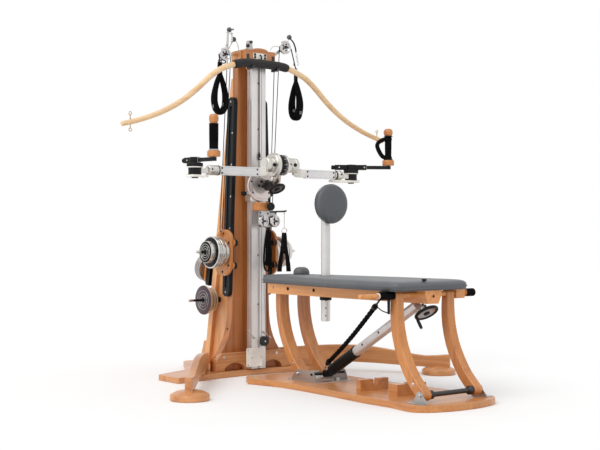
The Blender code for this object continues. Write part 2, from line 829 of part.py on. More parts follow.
def arched_legs():
    """Diagonal boards from the tower's corners to the round feet, cut to stand on the feet."""
    root = Vector((*LEG_ROOT, 0.0))
    foot = Vector((*FOOT_CENTRE, 0.0))
    along = (foot - root).normalized()
    length = (foot - root).length
    rest = BASE_T + GAP
    top = [(s * length, z) for s, z in LEG_TOP] + [(length + LEG_OVERHANG, LEG_TIP_TOP_Z)]
    smooth = [(p.x, p.y) for p in smooth_route([(x, z, 0.0) for x, z in top], 2)]
    start = top[0][0]
    bottom = [(length + LEG_OVERHANG, FOOT_RIM_H + 0.012), (length * 0.86, LEG_BOTTOM_FOOT),
              (length * 0.62, LEG_BOTTOM_MID - 0.004), (length * 0.46, LEG_BOTTOM_MID),
              (length * 0.37, LEG_BOTTOM_MID - 0.004), (length * 0.28, rest + 0.016), (length * 0.25, rest),
              (start, rest)]
    turn = math.atan2(along.y, along.x)
    place = Matrix.Translation(root) @ Matrix.Rotation(turn, 4, "Z")
    for side, name in ((-1, "left"), (1, "right")):
        board = mirrored(moved(slab(smooth + bottom, "XZ", -LEG_T / 2, LEG_T / 2, EDGE), place), side)
        centre = (FOOT_CENTRE[0], side * FOOT_CENTRE[1], 0.0)
        cut = turned([(FOOT_R + 0.01, -0.01)] + foot_profile(GAP)[2:], (0, 0, 1), centre, FINE_FACETS)
        fuse(name + "_arched_leg", wood(), [board], [cut])
        fuse(name + "_round_foot", wood(), [turned(foot_profile(), (0, 0, 1), centre, FINE_FACETS)])


def guide_rail():
    """Extruded rail with a front groove and side grooves, and a web that bolts to the column."""
    x0, x1, half = RAIL_X0, RAIL_X1, RAIL_HALF
    gw, gd = RAIL_GROOVE_W / 2, RAIL_GROOVE_D
    sw, sd = RAIL_SIDE_GROOVE_W / 2, RAIL_SIDE_GROOVE_D
    mid = (x0 + x1) / 2
    half_outline = [(x1, gw), (x1, half), (mid + sw, half), (mid + sw, half - sd), (mid - sw, half - sd),
                    (mid - sw, half), (x0, half)]
    outline = [(x1 - gd, -gw), (x1 - gd, gw)] + half_outline
    outline += [(x, -y) for x, y in reversed(half_outline)]
    top = HEAD_Z0 - GAP
    web = box(COL_X1 + GAP, x0 + 0.005, -RAIL_WEB_HALF, RAIL_WEB_HALF, CROSS_TOP_Z + 0.0015, top)
    x, y, z = FLOOR_PULLEY
    axle = rod((x1 - 0.004, y, z), (x + FLOOR_PULLEY_W / 2 + 0.005, y, z), AXLE_R)
    fuse("guide_rail", aluminium(), [slab(outline, "XY", RAIL_Z0, top), web, axle])


def lean_frame(side):
    """Frame on a track's outer face: X stays X, Y points outwards, Z runs up the leaning edge."""
    angle = math.atan(COL_LEAN)
    base = Vector((0.0, column_half(TRACK_Z0) + GAP + 0.0002, TRACK_Z0))
    place = Matrix.Translation(base) @ Matrix.Rotation(angle, 4, "X")
    if side < 0:
        place = Matrix.Scale(-1.0, 4, (0, 1, 0)) @ place
    return place


def placed(bm, side):
    bmesh.ops.transform(bm, matrix=lean_frame(side), verts=bm.verts)
    if side < 0:
        bmesh.ops.reverse_faces(bm, faces=bm.faces)
    return bm


def track_length():
    return (TRACK_Z1 - TRACK_Z0) / math.cos(math.atan(COL_LEAN))


def side_tracks():
    """Black channels with round ends on the leaning edges of the column."""
    r = (TRACK_X1 - TRACK_X0) / 2
    mid = (TRACK_X0 + TRACK_X1) / 2
    length = track_length()
    outline = arc(mid, r, r, 180, 360, 8) + arc(mid, length - r, r, 0, 180, 8)
    for side, name in ((-1, "left"), (1, "right")):
        body = placed(slab(outline, "XZ", 0.0, TRACK_T), side)
        groove = box(mid - TRACK_GROOVE_W / 2, mid + TRACK_GROOVE_W / 2, TRACK_T - TRACK_GROOVE_D, TRACK_T + 0.01,
                     0.06, length - 0.06)
        fuse(name + "_track", black(), [body], [placed(groove, side)])


def stack_profile():
    """Radius and height of the discs on a side spindle, from the paddle outwards."""
    profile = [(0.030, 0.0), (0.030, STACK_STEP)]
    y = STACK_STEP
    for _ in range(STACK_BACK_DISCS):
        profile += [(STACK_BACK_R, y), (STACK_BACK_R, y + STACK_DISC_T), (STACK_BACK_R - STACK_STEP, y + STACK_DISC_T)]
        y += STACK_DISC_T + 0.0016
        profile += [(STACK_BACK_R - STACK_STEP, y)]
    profile += [(STACK_BIG_R, y), (STACK_BIG_R, y + STACK_BIG_T)]
    y += STACK_BIG_T
    profile += [(STACK_FRONT_R - STACK_STEP, y), (STACK_FRONT_R - STACK_STEP, y + 0.002)]
    y += 0.002
    profile += [(STACK_FRONT_R, y), (STACK_FRONT_R, y + STACK_FRONT_T)]
    y += STACK_FRONT_T
    profile += [(SPINDLE_R, y), (SPINDLE_R, y + SPINDLE_END)]
    return profile


def side_weights():
    """Wood paddles with two rollers that slide on the tracks, and the chrome stacks on their spindles."""
    y0 = TRACK_T + PADDLE_GAP
    y1 = y0 + PADDLE_T
    level = (PADDLE_Z - TRACK_Z0) / math.cos(math.atan(COL_LEAN))
    mid = (TRACK_X0 + TRACK_X1) / 2
    tongue_half = TRACK_GROOVE_W / 2 - SLIDE_FIT
    outline = rounded_rect(PADDLE_X - PADDLE_W / 2, PADDLE_X + PADDLE_W / 2, level - PADDLE_H / 2,
                           level + PADDLE_H / 2, PADDLE_W * 0.40, 6)
    for side, name in ((-1, "left"), (1, "right")):
        paddle = placed(slab(outline, "XZ", y0, y1, EDGE), side)
        tongue = placed(box(mid - tongue_half, mid + tongue_half, TRACK_T - TRACK_GROOVE_D + SLIDE_FIT, y0 + 0.002,
                            level - PADDLE_H * 0.35, level + PADDLE_H * 0.35), side)
        shapes = [paddle, tongue]
        for dz in (-ROLLER_DOWN, ROLLER_UP):
            spot = (ROLLER_X, y0 + 0.002 - ROLLER_LEN, level + dz)
            shapes.append(placed(turned([(ROLLER_R, 0.0), (ROLLER_R, ROLLER_LEN)], (0, 1, 0), spot, 20), side))
        clevis_z = level + PADDLE_H / 2 - 0.030
        shapes.append(placed(box(CLEVIS_X - 0.010, CLEVIS_X + 0.010, y1 - 0.002, y1 + 0.028,
                                 clevis_z - 0.012, clevis_z + 0.012), side))
        carriage = fuse(name + "_weight_carriage", wood_light(), shapes)
        stack = placed(turned(stack_profile(), (0, 1, 0), (PADDLE_X, y1 + GAP, level), FINE_FACETS), side)
        chrome_stack = fuse(name + "_weight_stack", chrome(), [stack])
        spot = lean_frame(side) @ Vector((PADDLE_X, y1, level))
        set_origin(carriage, spot)
        set_origin(chrome_stack, spot)


def storage_weights():
    """Thin discs kept on pegs that stand out from both sides of the web."""
    profile = [(0.019, 0.0), (0.019, STORE_GAP - 0.004), (0.012, STORE_GAP)]
    y = STORE_GAP
    for _ in range(STORE_DISCS):
        profile += [(STORE_R, y), (STORE_R, y + STORE_DISC_T - STORE_STEP),
                    (STORE_R * 0.80, y + STORE_DISC_T - STORE_STEP), (STORE_R * 0.80, y + STORE_DISC_T)]
        y += STORE_DISC_T
    profile += [(SPINDLE_R, y), (SPINDLE_R, y + STORE_PEG_END)]
    for side, name in ((-1, "left"), (1, "right")):
        start = (STORE_X, WEB_HALF + GAP, STORE_Z)
        discs = mirrored(turned(profile, (0, 1, 0), start, FINE_FACETS), side)
        fuse(name + "_storage_weights", chrome(), [discs])


def rear_slope():
    """Direction of the spine, upwards, at the rear weights."""
    low, high = REAR_Z - 0.05, REAR_Z + 0.25
    return Vector((spine_rear_x(high) - spine_rear_x(low), 0.0, high - low)).normalized()


def rear_weights():
    """Wood paddle and chrome stack that ride on the rail behind the spine."""
    up = rear_slope()
    out = Vector((-up.z, 0.0, up.x))
    across = Vector((0.0, -1.0, 0.0))
    seat = Vector((spine_rear_x(REAR_Z) - REAR_RAIL_T, 0.0, REAR_Z))
    seat += out * REAR_STAND_OFF
    place = Matrix((across, up, out)).transposed().to_4x4()
    place.translation = seat
    outline = rounded_rect(-REAR_PADDLE_W / 2, REAR_PADDLE_W / 2, -REAR_PADDLE_H / 2, REAR_PADDLE_H / 2, 0.05)
    paddle = moved(slab(outline, "XY", 0.0, 0.020, EDGE), place)
    block = moved(box(-REAR_BLOCK_HALF, REAR_BLOCK_HALF, -REAR_BLOCK_H / 2, REAR_BLOCK_H / 2,
                      REAR_FIT - REAR_STAND_OFF, 0.002), place)
    profile = [(0.030, 0.015), (0.030, 0.024)]
    y = 0.024
    for _ in range(3):
        profile += [(REAR_R, y), (REAR_R, y + 0.020), (REAR_R - STACK_STEP, y + 0.020),
                    (REAR_R - STACK_STEP, y + 0.022)]
        y += 0.022
    profile += [(REAR_R * 0.7, y), (REAR_R * 0.7, y + 0.022), (SPINDLE_R, y + 0.0222), (SPINDLE_R, y + 0.060)]
    stack = moved(turned(profile, (0, 0, 1), (0, 0, 0), FINE_FACETS), place)
    made = fuse("rear_weight_stack", chrome(), [paddle, block, stack])
    set_origin(made, seat)


def grooved_wheel(name, centre, radius, width, bore, axis, slot):
    """A small rope wheel with a V groove and a bore."""
    w = width / 2
    depth = min(0.007, radius * 0.2)
    profile = [(bore, -w), (radius, -w), (radius - depth, 0.0), (radius, w), (bore, w)]
    made = fuse(name, slot, [turned_ring(profile, axis, centre, FINE_FACETS)])
    set_origin(made, centre)


def pulley_hanger(name, side, wheel, balls):
    """Bracket on the head block's side: flange, arm, axle, and posts with ball stops."""
    y, z, _ = wheel
    back = PULLEY_X - PULLEY_W / 2 - RUN - HANGER_T
    front = back + HANGER_T
    flange_y = side * (HEAD_HALF + GAP)
    flange = box(back - 0.030, front + 0.034, flange_y, flange_y + side * FLANGE_T, HEAD_Z0 + 0.006,
                 HEAD_Z0 + HEAD_H - 0.006)
    start = Vector((0.0, flange_y + side * 0.0075, HEAD_Z0 + HEAD_H / 2))
    end = Vector((0.0, y, z))
    run = end - start
    length = run.length
    angle = math.atan2(run.z, run.y)
    arm = slab(rounded_rect(0.0, length + HANGER_W / 2, -HANGER_W / 2, HANGER_W / 2, 0.006, 3), "YZ", back, front)
    moved(arm, Matrix.Translation(start) @ Matrix.Rotation(angle, 4, "X"))
    shapes = [flange, arm, rod((front - 0.003, y, z), (PULLEY_X + PULLEY_W / 2 + 0.008, y, z), AXLE_R)]
    for ball_y, ball_z in balls:
        mid = (back + front) / 2
        shapes.append(rod((mid, y + (ball_y - y) * 0.15, z), (mid, ball_y, ball_z), HANGER_T * 0.45, 8))
        sphere = bmesh.new()
        bmesh.ops.create_icosphere(sphere, subdivisions=2, radius=BALL_R)
        shapes.append(moved(sphere, Matrix.Translation((mid, ball_y, ball_z))))
    fuse(name, steel(), shapes)


def top_pulleys():
    pulley_hanger("left_pulley_hanger", -1, LEFT_PULLEY, LEFT_BALLS)
    pulley_hanger("right_pulley_hanger", 1, RIGHT_PULLEY, RIGHT_BALLS)
    for name, (y, z, r) in (("left_top_pulley", LEFT_PULLEY), ("right_top_pulley", RIGHT_PULLEY)):
        grooved_wheel(name, (PULLEY_X, y, z), r, PULLEY_W, AXLE_R + RUN, (1, 0, 0), chrome())


def clevis_point(side):
    """Outer top of the side carriage, where its rope turns round the clevis."""
    level = (PADDLE_Z - TRACK_Z0) / math.cos(math.atan(COL_LEAN)) + PADDLE_H / 2 - 0.030 + 0.012
    return lean_frame(side) @ Vector((CLEVIS_X, TRACK_T + PADDLE_GAP + PADDLE_T + 0.014, level))


def weight_ropes():
    """Rope from a fixed end down to the carriage and up to the top pulley, in one V."""
    beside = ROPE_R + 0.0005
    behind = PULLEY_X - PULLEY_W / 2 - RUN - HANGER_T - 0.0045
    tops = {"left": ((behind, LEFT_PULLEY[0] - LEFT_PULLEY[2], LEFT_PULLEY[1]),
                     (PULLEY_X, LEFT_PULLEY[0] + LEFT_PULLEY[2] + beside, LEFT_PULLEY[1])),
            "right": ((PULLEY_X + 0.003, RIGHT_PULLEY[0] - RIGHT_PULLEY[2] - beside, RIGHT_PULLEY[1]),
                      (PULLEY_X - 0.005, HEAD_HALF + 0.042, HEAD_Z0 - 0.004))}
    for side, name in ((-1, "left"), (1, "right")):
        low = clevis_point(side)
        low.z += GAP + ROPE_R
        spread = 0.008
        outer, inner = [Vector(p) for p in tops[name]]
        left = low + Vector((0, side * spread, spread * 1.6))
        right = low + Vector((0, -side * spread, spread * 1.6))
        points = [outer, left, low + Vector((0, side * spread * 0.6, 0.003)), low,
                  low + Vector((0, -side * spread * 0.6, 0.003)), right, inner]
        rope(name + "_weight_rope", points, ROPE_R, black())


def front_rope():
    """Rope on the front of the rail, from the head down to its clip above the handle unit."""
    x = RAIL_X1 + 0.006
    top = HEAD_Z0 - 0.006
    clip = 1.395
    shapes = [rod((x, 0, clip + 0.02), (x, 0, top), ROPE_R, 8), box(x - 0.004, x + 0.008, -0.007, 0.007,
                                                                   clip, clip + 0.045)]
    fuse("front_rope", black(), shapes)


def stirrup_loop(name, side, y, wheel, facing):
    """Padded loop with its strap and the line up to the top pulley. facing is the loop's flat side."""
    top_z = STIRRUP_Z0 + STIRRUP_H
    centre = Vector((STIRRUP_X, y, 0.0))
    inplane = Vector((0, 1, 0)) if facing == "X" else Vector((1, 0, 0))
    across = Vector((1, 0, 0)) if facing == "X" else Vector((0, 1, 0))
    count = 20
    route = []
    sections = []
    for i in range(count):
        a = 2 * math.pi * i / count
        drop = (1 - math.cos(a)) / 2
        wide = STIRRUP_HALF * math.sin(a) * (0.35 + 0.65 * math.sin(drop * math.pi / 2))
        height = top_z - 0.012 - (STIRRUP_H - STIRRUP_PAD_T / 2 - 0.012) * drop
        route.append(centre + inplane * wide + Vector((0, 0, height)))
        full = math.sin(drop * math.pi / 2)
        sections.append((STIRRUP_PAD_T / 2 * (0.8 + 0.2 * full), STIRRUP_PAD_W / 2 * (0.45 + 0.55 * full)))
    loop = sweep(route, sections, across, closed=True)
    strap_top = top_z + 0.070
    strap = box(STIRRUP_X - STIRRUP_STRAP_W / 2, STIRRUP_X + STIRRUP_STRAP_W / 2, y - 0.004, y + 0.004,
                top_z - 0.014, strap_top)
    if facing == "X":
        strap = box(STIRRUP_X - 0.004, STIRRUP_X + 0.004, y - STIRRUP_STRAP_W / 2, y + STIRRUP_STRAP_W / 2,
                    top_z - 0.014, strap_top)
    hang = Vector((STIRRUP_X, wheel[0] + side * (wheel[2] + LINE_R + 0.001), wheel[1] - 0.004))
    line = rod((STIRRUP_X, y, strap_top - 0.006), hang, LINE_R, 8)
    made = fuse(name + "_stirrup", black(), [loop, strap, line])
    set_origin(made, (STIRRUP_X, y, top_z))


def hub_centre():
    return Vector((HUB_X, 0.0, HUB_Z))


def handle_carriage():
    """Saddle on the rail, round plate, curved neck and the cross hub with its graduated ring."""
    fit = SLIDE_FIT
    inner = RAIL_HALF + fit
    outer = inner + SADDLE_T
    x_face = RAIL_X1 + fit
    x_front = x_face + SADDLE_T
    low, high = PLATE_Z - SADDLE_HALF_H, PLATE_Z + SADDLE_HALF_H
    saddle = [(x_front, -outer), (x_front, outer), (RAIL_X0 - 0.004, outer), (RAIL_X0 - 0.004, inner),
              (x_face, inner), (x_face, -inner), (RAIL_X0 - 0.004, -inner), (RAIL_X0 - 0.004, -outer)]
    plate_x1 = x_front + PLATE_T
    neck = smooth_route([(plate_x1 - 0.006,) + NECK_START] + NECK_MIDDLE + [NECK_END], 3)
    neck_sections = [(NECK_R, NECK_R)] * len(neck)
    run = Vector(NECK_END) - Vector((plate_x1,) + NECK_START)
    neck_across = run.cross(Vector((0, 0, 1))).normalized()

    def drum(y0, y1, radius):
        soft = 0.004
        return turned([(radius - soft, 0.0), (radius, soft), (radius, y1 - y0 - soft), (radius - soft, y1 - y0)],
                      (0, 1, 0), (HUB_X, y0, HUB_Z), FINE_FACETS)

    shapes = [slab(saddle, "XY", low, high),
              turned([(PLATE_R, 0.0), (PLATE_R, PLATE_T - 0.002), (PLATE_R - 0.002, PLATE_T)], (1, 0, 0),
                     (x_front - 0.001, 0, PLATE_Z), FINE_FACETS),
              sweep(neck, neck_sections, neck_across),
              drum(HUB_Y0, HUB_DISC_Y0 + 0.002, HUB_NEAR_R),
              drum(HUB_DISC_Y0, HUB_DISC_Y1, HUB_DISC_R),
              drum(HUB_DISC_Y1 - 0.006, HUB_RING_Y1, HUB_RING_R),
              drum(HUB_RING_Y1 - 0.006, HUB_Y1, HUB_FAR_R)]
    knob_x = (RAIL_X0 + RAIL_X1) / 2
    knob_z = PLATE_Z - 0.050
    shapes.append(rod((knob_x, -outer + 0.002, knob_z), (knob_x, -outer - KNOB_L, knob_z), KNOB_R))
    for dy, dz in ((0.0, 0.070), (0.024, 0.030), (0.0, 0.004), (0.030, 0.004)):
        face = plate_x1 - 0.002
        shapes.append(rod((face, dy, PLATE_Z + dz), (face + 0.012, dy, PLATE_Z + dz), 0.007, 12))
    made = fuse("handle_carriage", aluminium(), shapes)
    set_origin(made, (RAIL_X1, 0.0, PLATE_Z))


def hub_end(side):
    return HUB_Y1 if side > 0 else -HUB_Y0


def arms():
    """Arms that roll on the ends of the hub, each with a knuckle, a board and a housing for its crank."""
    sizes = ((-1, "left", LEFT_BAR_START, LEFT_ARM_END, LEFT_BOARD_START),
             (1, "right", RIGHT_BAR_START, RIGHT_ARM_END, RIGHT_BOARD_START))
    for side, name, bar_start, bar_end, board_start in sizes:
        root_y = hub_end(side) + GAP
        root = turned([(ARM_ROOT_R, 0.0), (ARM_ROOT_R, ARM_ROOT_T)], (0, 1, 0), (HUB_X, root_y, HUB_Z), FACETS)
        wedge = slab([(root_y + 0.004, ARM_Z - 0.007), (root_y + 0.004, ARM_Z + 0.038),
                      (bar_start + 0.004, ARM_Z + 0.0255), (bar_start + 0.004, ARM_Z - 0.0255),
                      (root_y + 0.030, ARM_Z - 0.022)], "YZ", HUB_X - ARM_WEDGE_T / 2, HUB_X + ARM_WEDGE_T / 2)
        bar = box(HUB_X - ARM_T / 2, HUB_X + ARM_T / 2, bar_start, bar_end, ARM_Z - ARM_H / 2, ARM_Z + ARM_H / 2)
        made = fuse(name + "_arm", aluminium(), [mirrored(root, side), mirrored(wedge, side), mirrored(bar, side)])
        set_origin(made, (HUB_X, side * hub_end(side), HUB_Z))

        start = bar_end + GAP
        length = KNUCKLE_END - start
        collar = turned([(KNUCKLE_R * 0.85, 0.0), (KNUCKLE_R * 0.85, 0.014), (KNUCKLE_R, 0.014),
                         (KNUCKLE_R, length - 0.006), (KNUCKLE_R - 0.006, length)], (0, 1, 0),
                        (HUB_X, start, ARM_Z), FACETS)
        z0 = housing_z0()
        z1 = z0 + HOUSING_H
        block = box(HUB_X - 0.018, HUB_X + 0.018, KNUCKLE_END - 0.010, HEAD_Y - HOUSING_R * 0.5, z0 + 0.003,
                    z1 - 0.003)
        drop = z0 - BOARD_Z1 + 0.001
        housing = turned([(HOUSING_R, -drop), (HOUSING_R, HOUSING_H - 0.001), (HOUSING_PLATE_R, HOUSING_H - 0.001),
                          (HOUSING_PLATE_R, HOUSING_H + HOUSING_PLATE_T)], (0, 0, 1), (HUB_X, HEAD_Y, z0), FACETS)
        board = slab(rounded_rect(HUB_X - BOARD_HALF, HUB_X + BOARD_HALF, board_start, BOARD_END, 0.030), "XY",
                     BOARD_Z0, BOARD_Z1, 0.002)
        bore = CRANK_SHAFT_R + RUN
        hole = rod((HUB_X, HEAD_Y, BOARD_Z0 - 0.02), (HUB_X, HEAD_Y, z1 + 0.03), bore, FACETS)
        shapes = [mirrored(s, side) for s in (collar, block, housing, board)]
        made = fuse(name + "_turntable", steel(), shapes, [mirrored(hole, side)])
        set_origin(made, (HUB_X, side * HEAD_Y, ARM_Z))


def housing_z0():
    return ARM_Z - HOUSING_H / 2 - 0.006


def crank_base_z():
    return housing_z0() + HOUSING_H + HOUSING_PLATE_T + CRANK_GAP


def crank_bar_z():
    """Underside of the crank's bar, clear of the arm and the knuckle."""
    thick = (CRANK_SLEEVE_H - CRANK_BAR_H) / 2
    return max(crank_base_z() + CRANK_HUB_H - CRANK_STEM_H + 0.004, ARM_Z + max(ARM_H / 2, KNUCKLE_R) + 0.006 + thick)


def crank_frame(side, angle):
    """Frame on a crank's vertical axis, X along its bar."""
    return Matrix.Translation((HUB_X, side * HEAD_Y, 0.0)) @ Matrix.Rotation(math.radians(angle), 4, "Z")


def crank(name, side, reach, angle, tail, sleeve):
    """Crank on the head: flanged hub, thick sleeve, slimmer bar, tail knob and the shaft in the housing."""
    place = crank_frame(side, angle)
    base = crank_base_z()
    bar_z = crank_bar_z()
    middle = bar_z + CRANK_BAR_H / 2
    top = middle + CRANK_SLEEVE_H / 2
    hub = turned([(CRANK_FLANGE_R, 0.0), (CRANK_FLANGE_R, CRANK_FLANGE_H), (CRANK_HUB_R, CRANK_FLANGE_H),
                  (CRANK_HUB_R, top - base + 0.001)], (0, 0, 1), (0, 0, base), FACETS)
    end_r = CRANK_BAR_W / 2
    bar_outline = arc(reach, 0, end_r * 1.25, -70, 70, 5) + [(0.020, end_r * 0.9), (0.020, -end_r * 0.9)]
    bar = slab(bar_outline, "XY", bar_z, bar_z + CRANK_BAR_H, 0.002)
    half = CRANK_SLEEVE_W / 2
    thick = box(CRANK_KNOB_L - tail, sleeve, -half, half, middle - CRANK_SLEEVE_H / 2, top)
    knob = rod((CRANK_KNOB_L - tail + 0.004, 0, middle), (-tail, 0, middle), 0.013)
    shaft = rod((0, 0, BOARD_Z0 + 0.004), (0, 0, base + 0.004), CRANK_SHAFT_R, FACETS)
    hole = rod((reach, 0, bar_z + 0.004), (reach, 0, bar_z + CRANK_BAR_H + 0.02), GRIP_PIN_R + RUN, 16)
    shapes = [moved(s, place) for s in (hub, bar, thick, knob, shaft)]
    made = fuse(name + "_crank", black(), shapes, [moved(hole, place)])
    set_origin(made, place @ Vector((0, 0, bar_z)))


def grip(name, side, reach, angle, sizes, with_loop):
    """Upright handle that turns in the crank's end: pin, wood ring, foam sleeve and wood knob."""
    place = crank_frame(side, angle)
    z = crank_bar_z() + CRANK_BAR_H + GRIP_LIFT
    pin = crank_bar_z() + 0.006
    centre = place @ Vector((reach, 0, 0))
    sleeve = z + GRIP_RING_H
    knob = sleeve + GRIP_H
    foam, k, h = sizes
    profile = [(GRIP_PIN_R, pin), (GRIP_PIN_R, z), (GRIP_RING_R - 0.003, z), (GRIP_RING_R, z + 0.003),
               (GRIP_RING_R, sleeve - 0.003), (GRIP_RING_R - 0.003, sleeve), (foam * 0.93, sleeve),
               (foam * 0.93, sleeve + 0.012), (foam * 0.97, sleeve + GRIP_H * 0.3),
               (foam, sleeve + GRIP_H * 0.7), (foam, knob - 0.006), (foam * 1.04, knob),
               (k * 0.80, knob + 0.001), (k * 0.84, knob + h * 0.16), (k * 0.97, knob + h * 0.38),
               (k, knob + h * 0.58), (k * 0.90, knob + h * 0.80), (k * 0.55, knob + h * 0.96), (0.0, knob + h)]
    shapes = [turned(profile, (0, 0, 1), (centre.x, centre.y, 0.0), FACETS)]
    if with_loop:
        toward = Vector((-0.616, -0.788, 0.0))
        across = toward.cross(Vector((0, 0, 1)))
        low = sleeve + 0.014
        high = knob - 0.012
        reach_out = HAND_LOOP_REACH
        flat = Vector((centre.x, centre.y, 0.0))
        spots = [(0.012, low), (reach_out * 0.55, low + 0.014), (reach_out * 0.90, low + 0.060),
                 (reach_out, low + 0.095), (reach_out * 0.62, high - 0.014), (0.012, high)]
        route = smooth_route([flat + toward * d + Vector((0, 0, height)) for d, height in spots], 3)
        sections = [(HAND_LOOP_T / 2, HAND_LOOP_W / 2)] * len(route)
        shapes.append(sweep(route, sections, across))
    made = fuse(name + "_grip", black(), shapes)
    set_origin(made, (centre.x, centre.y, z))


def hand_wheel(name, centre, radius, tilt, stem, crank_length, stem_up=True):
    """Small wheel with a round rim, a flat web, a stem and a drop handle. tilt leans its axis to +X."""
    angle = math.radians(tilt)
    axis = Vector((math.sin(angle), 0.0, math.cos(angle)))
    rim = WHEEL_RIM_R
    web = 0.003
    profile = [(radius - rim * 2.0, -web), (radius - rim, -rim), (radius, -rim * 0.3), (radius, rim * 0.3),
               (radius - rim, rim), (radius - rim * 2.0, web)]
    disc = turned([(0.016, -0.010), (0.018, -web)] + profile + [(0.018, web), (0.016, 0.010)], axis, centre,
                  FINE_FACETS)
    c = Vector(centre)
    up = 1.0 if stem_up else -1.0
    shapes = [disc, rod(c + axis * up * 0.008, c + axis * up * stem, WHEEL_STEM_R, 12)]
    side = Vector((-math.cos(angle), 0.0, math.sin(angle))) * (radius - rim) * 0.60
    side += Vector((0, -1, 0)) * (radius - rim) * 0.80
    shapes.append(rod(c + side, c + side - axis * crank_length, 0.008, 12))
    made = fuse(name, black(), shapes)
    set_origin(made, centre)
    return axis


def stop_block():
    """Wood stop on the rail's face with its knob, the yoke below it, two pins and the hook bar."""
    x0 = RAIL_X1 + SLIDE_FIT
    x1 = BLOCK_X1
    z1 = BLOCK_Z0 + BLOCK_H
    yoke_x0 = x1 - YOKE_T
    axle_end = x1 + SMALL_PULLEY_GAP + SMALL_PULLEY_W + 0.006
    shift = SMALL_PULLEY_SHIFT
    shapes = [slab(rounded_rect(-BLOCK_HALF, BLOCK_HALF, BLOCK_Z0, z1, 0.008, 3), "YZ", x0, x1, 0.002),
              rod((x1 - 0.002, BLOCK_KNOB_Y, BLOCK_Z0 + BLOCK_H / 2),
                  (x1 + BLOCK_KNOB_L, BLOCK_KNOB_Y, BLOCK_Z0 + BLOCK_H / 2), BLOCK_KNOB_R, FACETS),
              slab(rounded_rect(shift - YOKE_HALF, shift + YOKE_HALF, YOKE_Z0, BLOCK_Z0 + 0.008, 0.012, 3), "YZ",
                   yoke_x0, x1)]
    for y in (shift - SMALL_PULLEY_Y, shift + SMALL_PULLEY_Y):
        shapes.append(rod((x1 - 0.002, y, SMALL_PULLEY_Z), (axle_end, y, SMALL_PULLEY_Z), AXLE_R))
    hook_x = STRAP_X
    shapes.append(rod((x1 - 0.004, BLOCK_HALF - 0.006, HOOK_Z), (hook_x, HOOK_Y, HOOK_Z + 0.004), 0.006, 10))
    made = fuse("stop_block", wood(), shapes)
    set_origin(made, (RAIL_X1, 0.0, BLOCK_Z0))
    for y, name in ((shift - SMALL_PULLEY_Y, "left_small_pulley"), (shift + SMALL_PULLEY_Y, "right_small_pulley")):
        centre = (x1 + SMALL_PULLEY_GAP + SMALL_PULLEY_W / 2, y, SMALL_PULLEY_Z)
        grooved_wheel(name, centre, SMALL_PULLEY_R, SMALL_PULLEY_W, AXLE_R + RUN, (1, 0, 0), chrome())


def hanging_straps():
    """Black foot straps that hang below the small pulleys: a folded one and a forked one."""
    x0 = STRAP_X - STRAP_T / 2
    x1 = STRAP_X + STRAP_T / 2
    y, half = LEFT_STRAP_Y, LEFT_STRAP_HALF
    top, low = LEFT_STRAP_Z1, STRAP_Z0
    left = [(y - 0.012, top), (y - half * 0.7, top - 0.05), (y - half * 0.8, low + 0.12), (y - half, low + 0.03),
            (y - half * 0.6, low), (y + half * 0.5, low), (y + half, low + 0.04), (y + half * 0.9, low + 0.14),
            (y + half * 0.5, top - 0.05), (y + 0.012, top)]
    made = fuse("left_hanging_strap", black(), [slab(left, "YZ", x0, x1, 0.004)])
    set_origin(made, (STRAP_X, y, top))
    y, half = RIGHT_STRAP_Y, RIGHT_STRAP_HALF
    top = RIGHT_STRAP_Z1
    right = [(y - 0.022, top), (y - 0.022, top - 0.10), (y - half * 0.75, top - 0.16), (y - half, low),
             (y - half * 0.12, low), (y, low + 0.045), (y + half * 0.12, low), (y + half, low),
             (y + half * 0.75, top - 0.15), (y + 0.022, top - 0.10), (y + 0.022, top)]
    ring = [(y + 0.024 * math.cos(a), top + 0.014 + 0.018 * math.sin(a))
            for a in [2 * math.pi * i / 14 for i in range(14)]]
    shapes = [slab(right, "YZ", x0, x1, 0.004),
              slab(ring, "YZ", STRAP_X - 0.003, STRAP_X + 0.003),
              rod((STRAP_X, y, top + 0.026), (STRAP_X, y, HOOK_Z - 0.0085), 0.0022, 8)]
    made = fuse("right_hanging_strap", black(), shapes)
    set_origin(made, (STRAP_X, y, HOOK_Z))


def bar_route():
    half = [Vector((BAR_X, y, z)) for y, z in BAR_HALF_ROUTE]
    left = [Vector((p.x, -p.y, p.z)) for p in reversed(half[1:])]
    return smooth_route(left + half, 2)


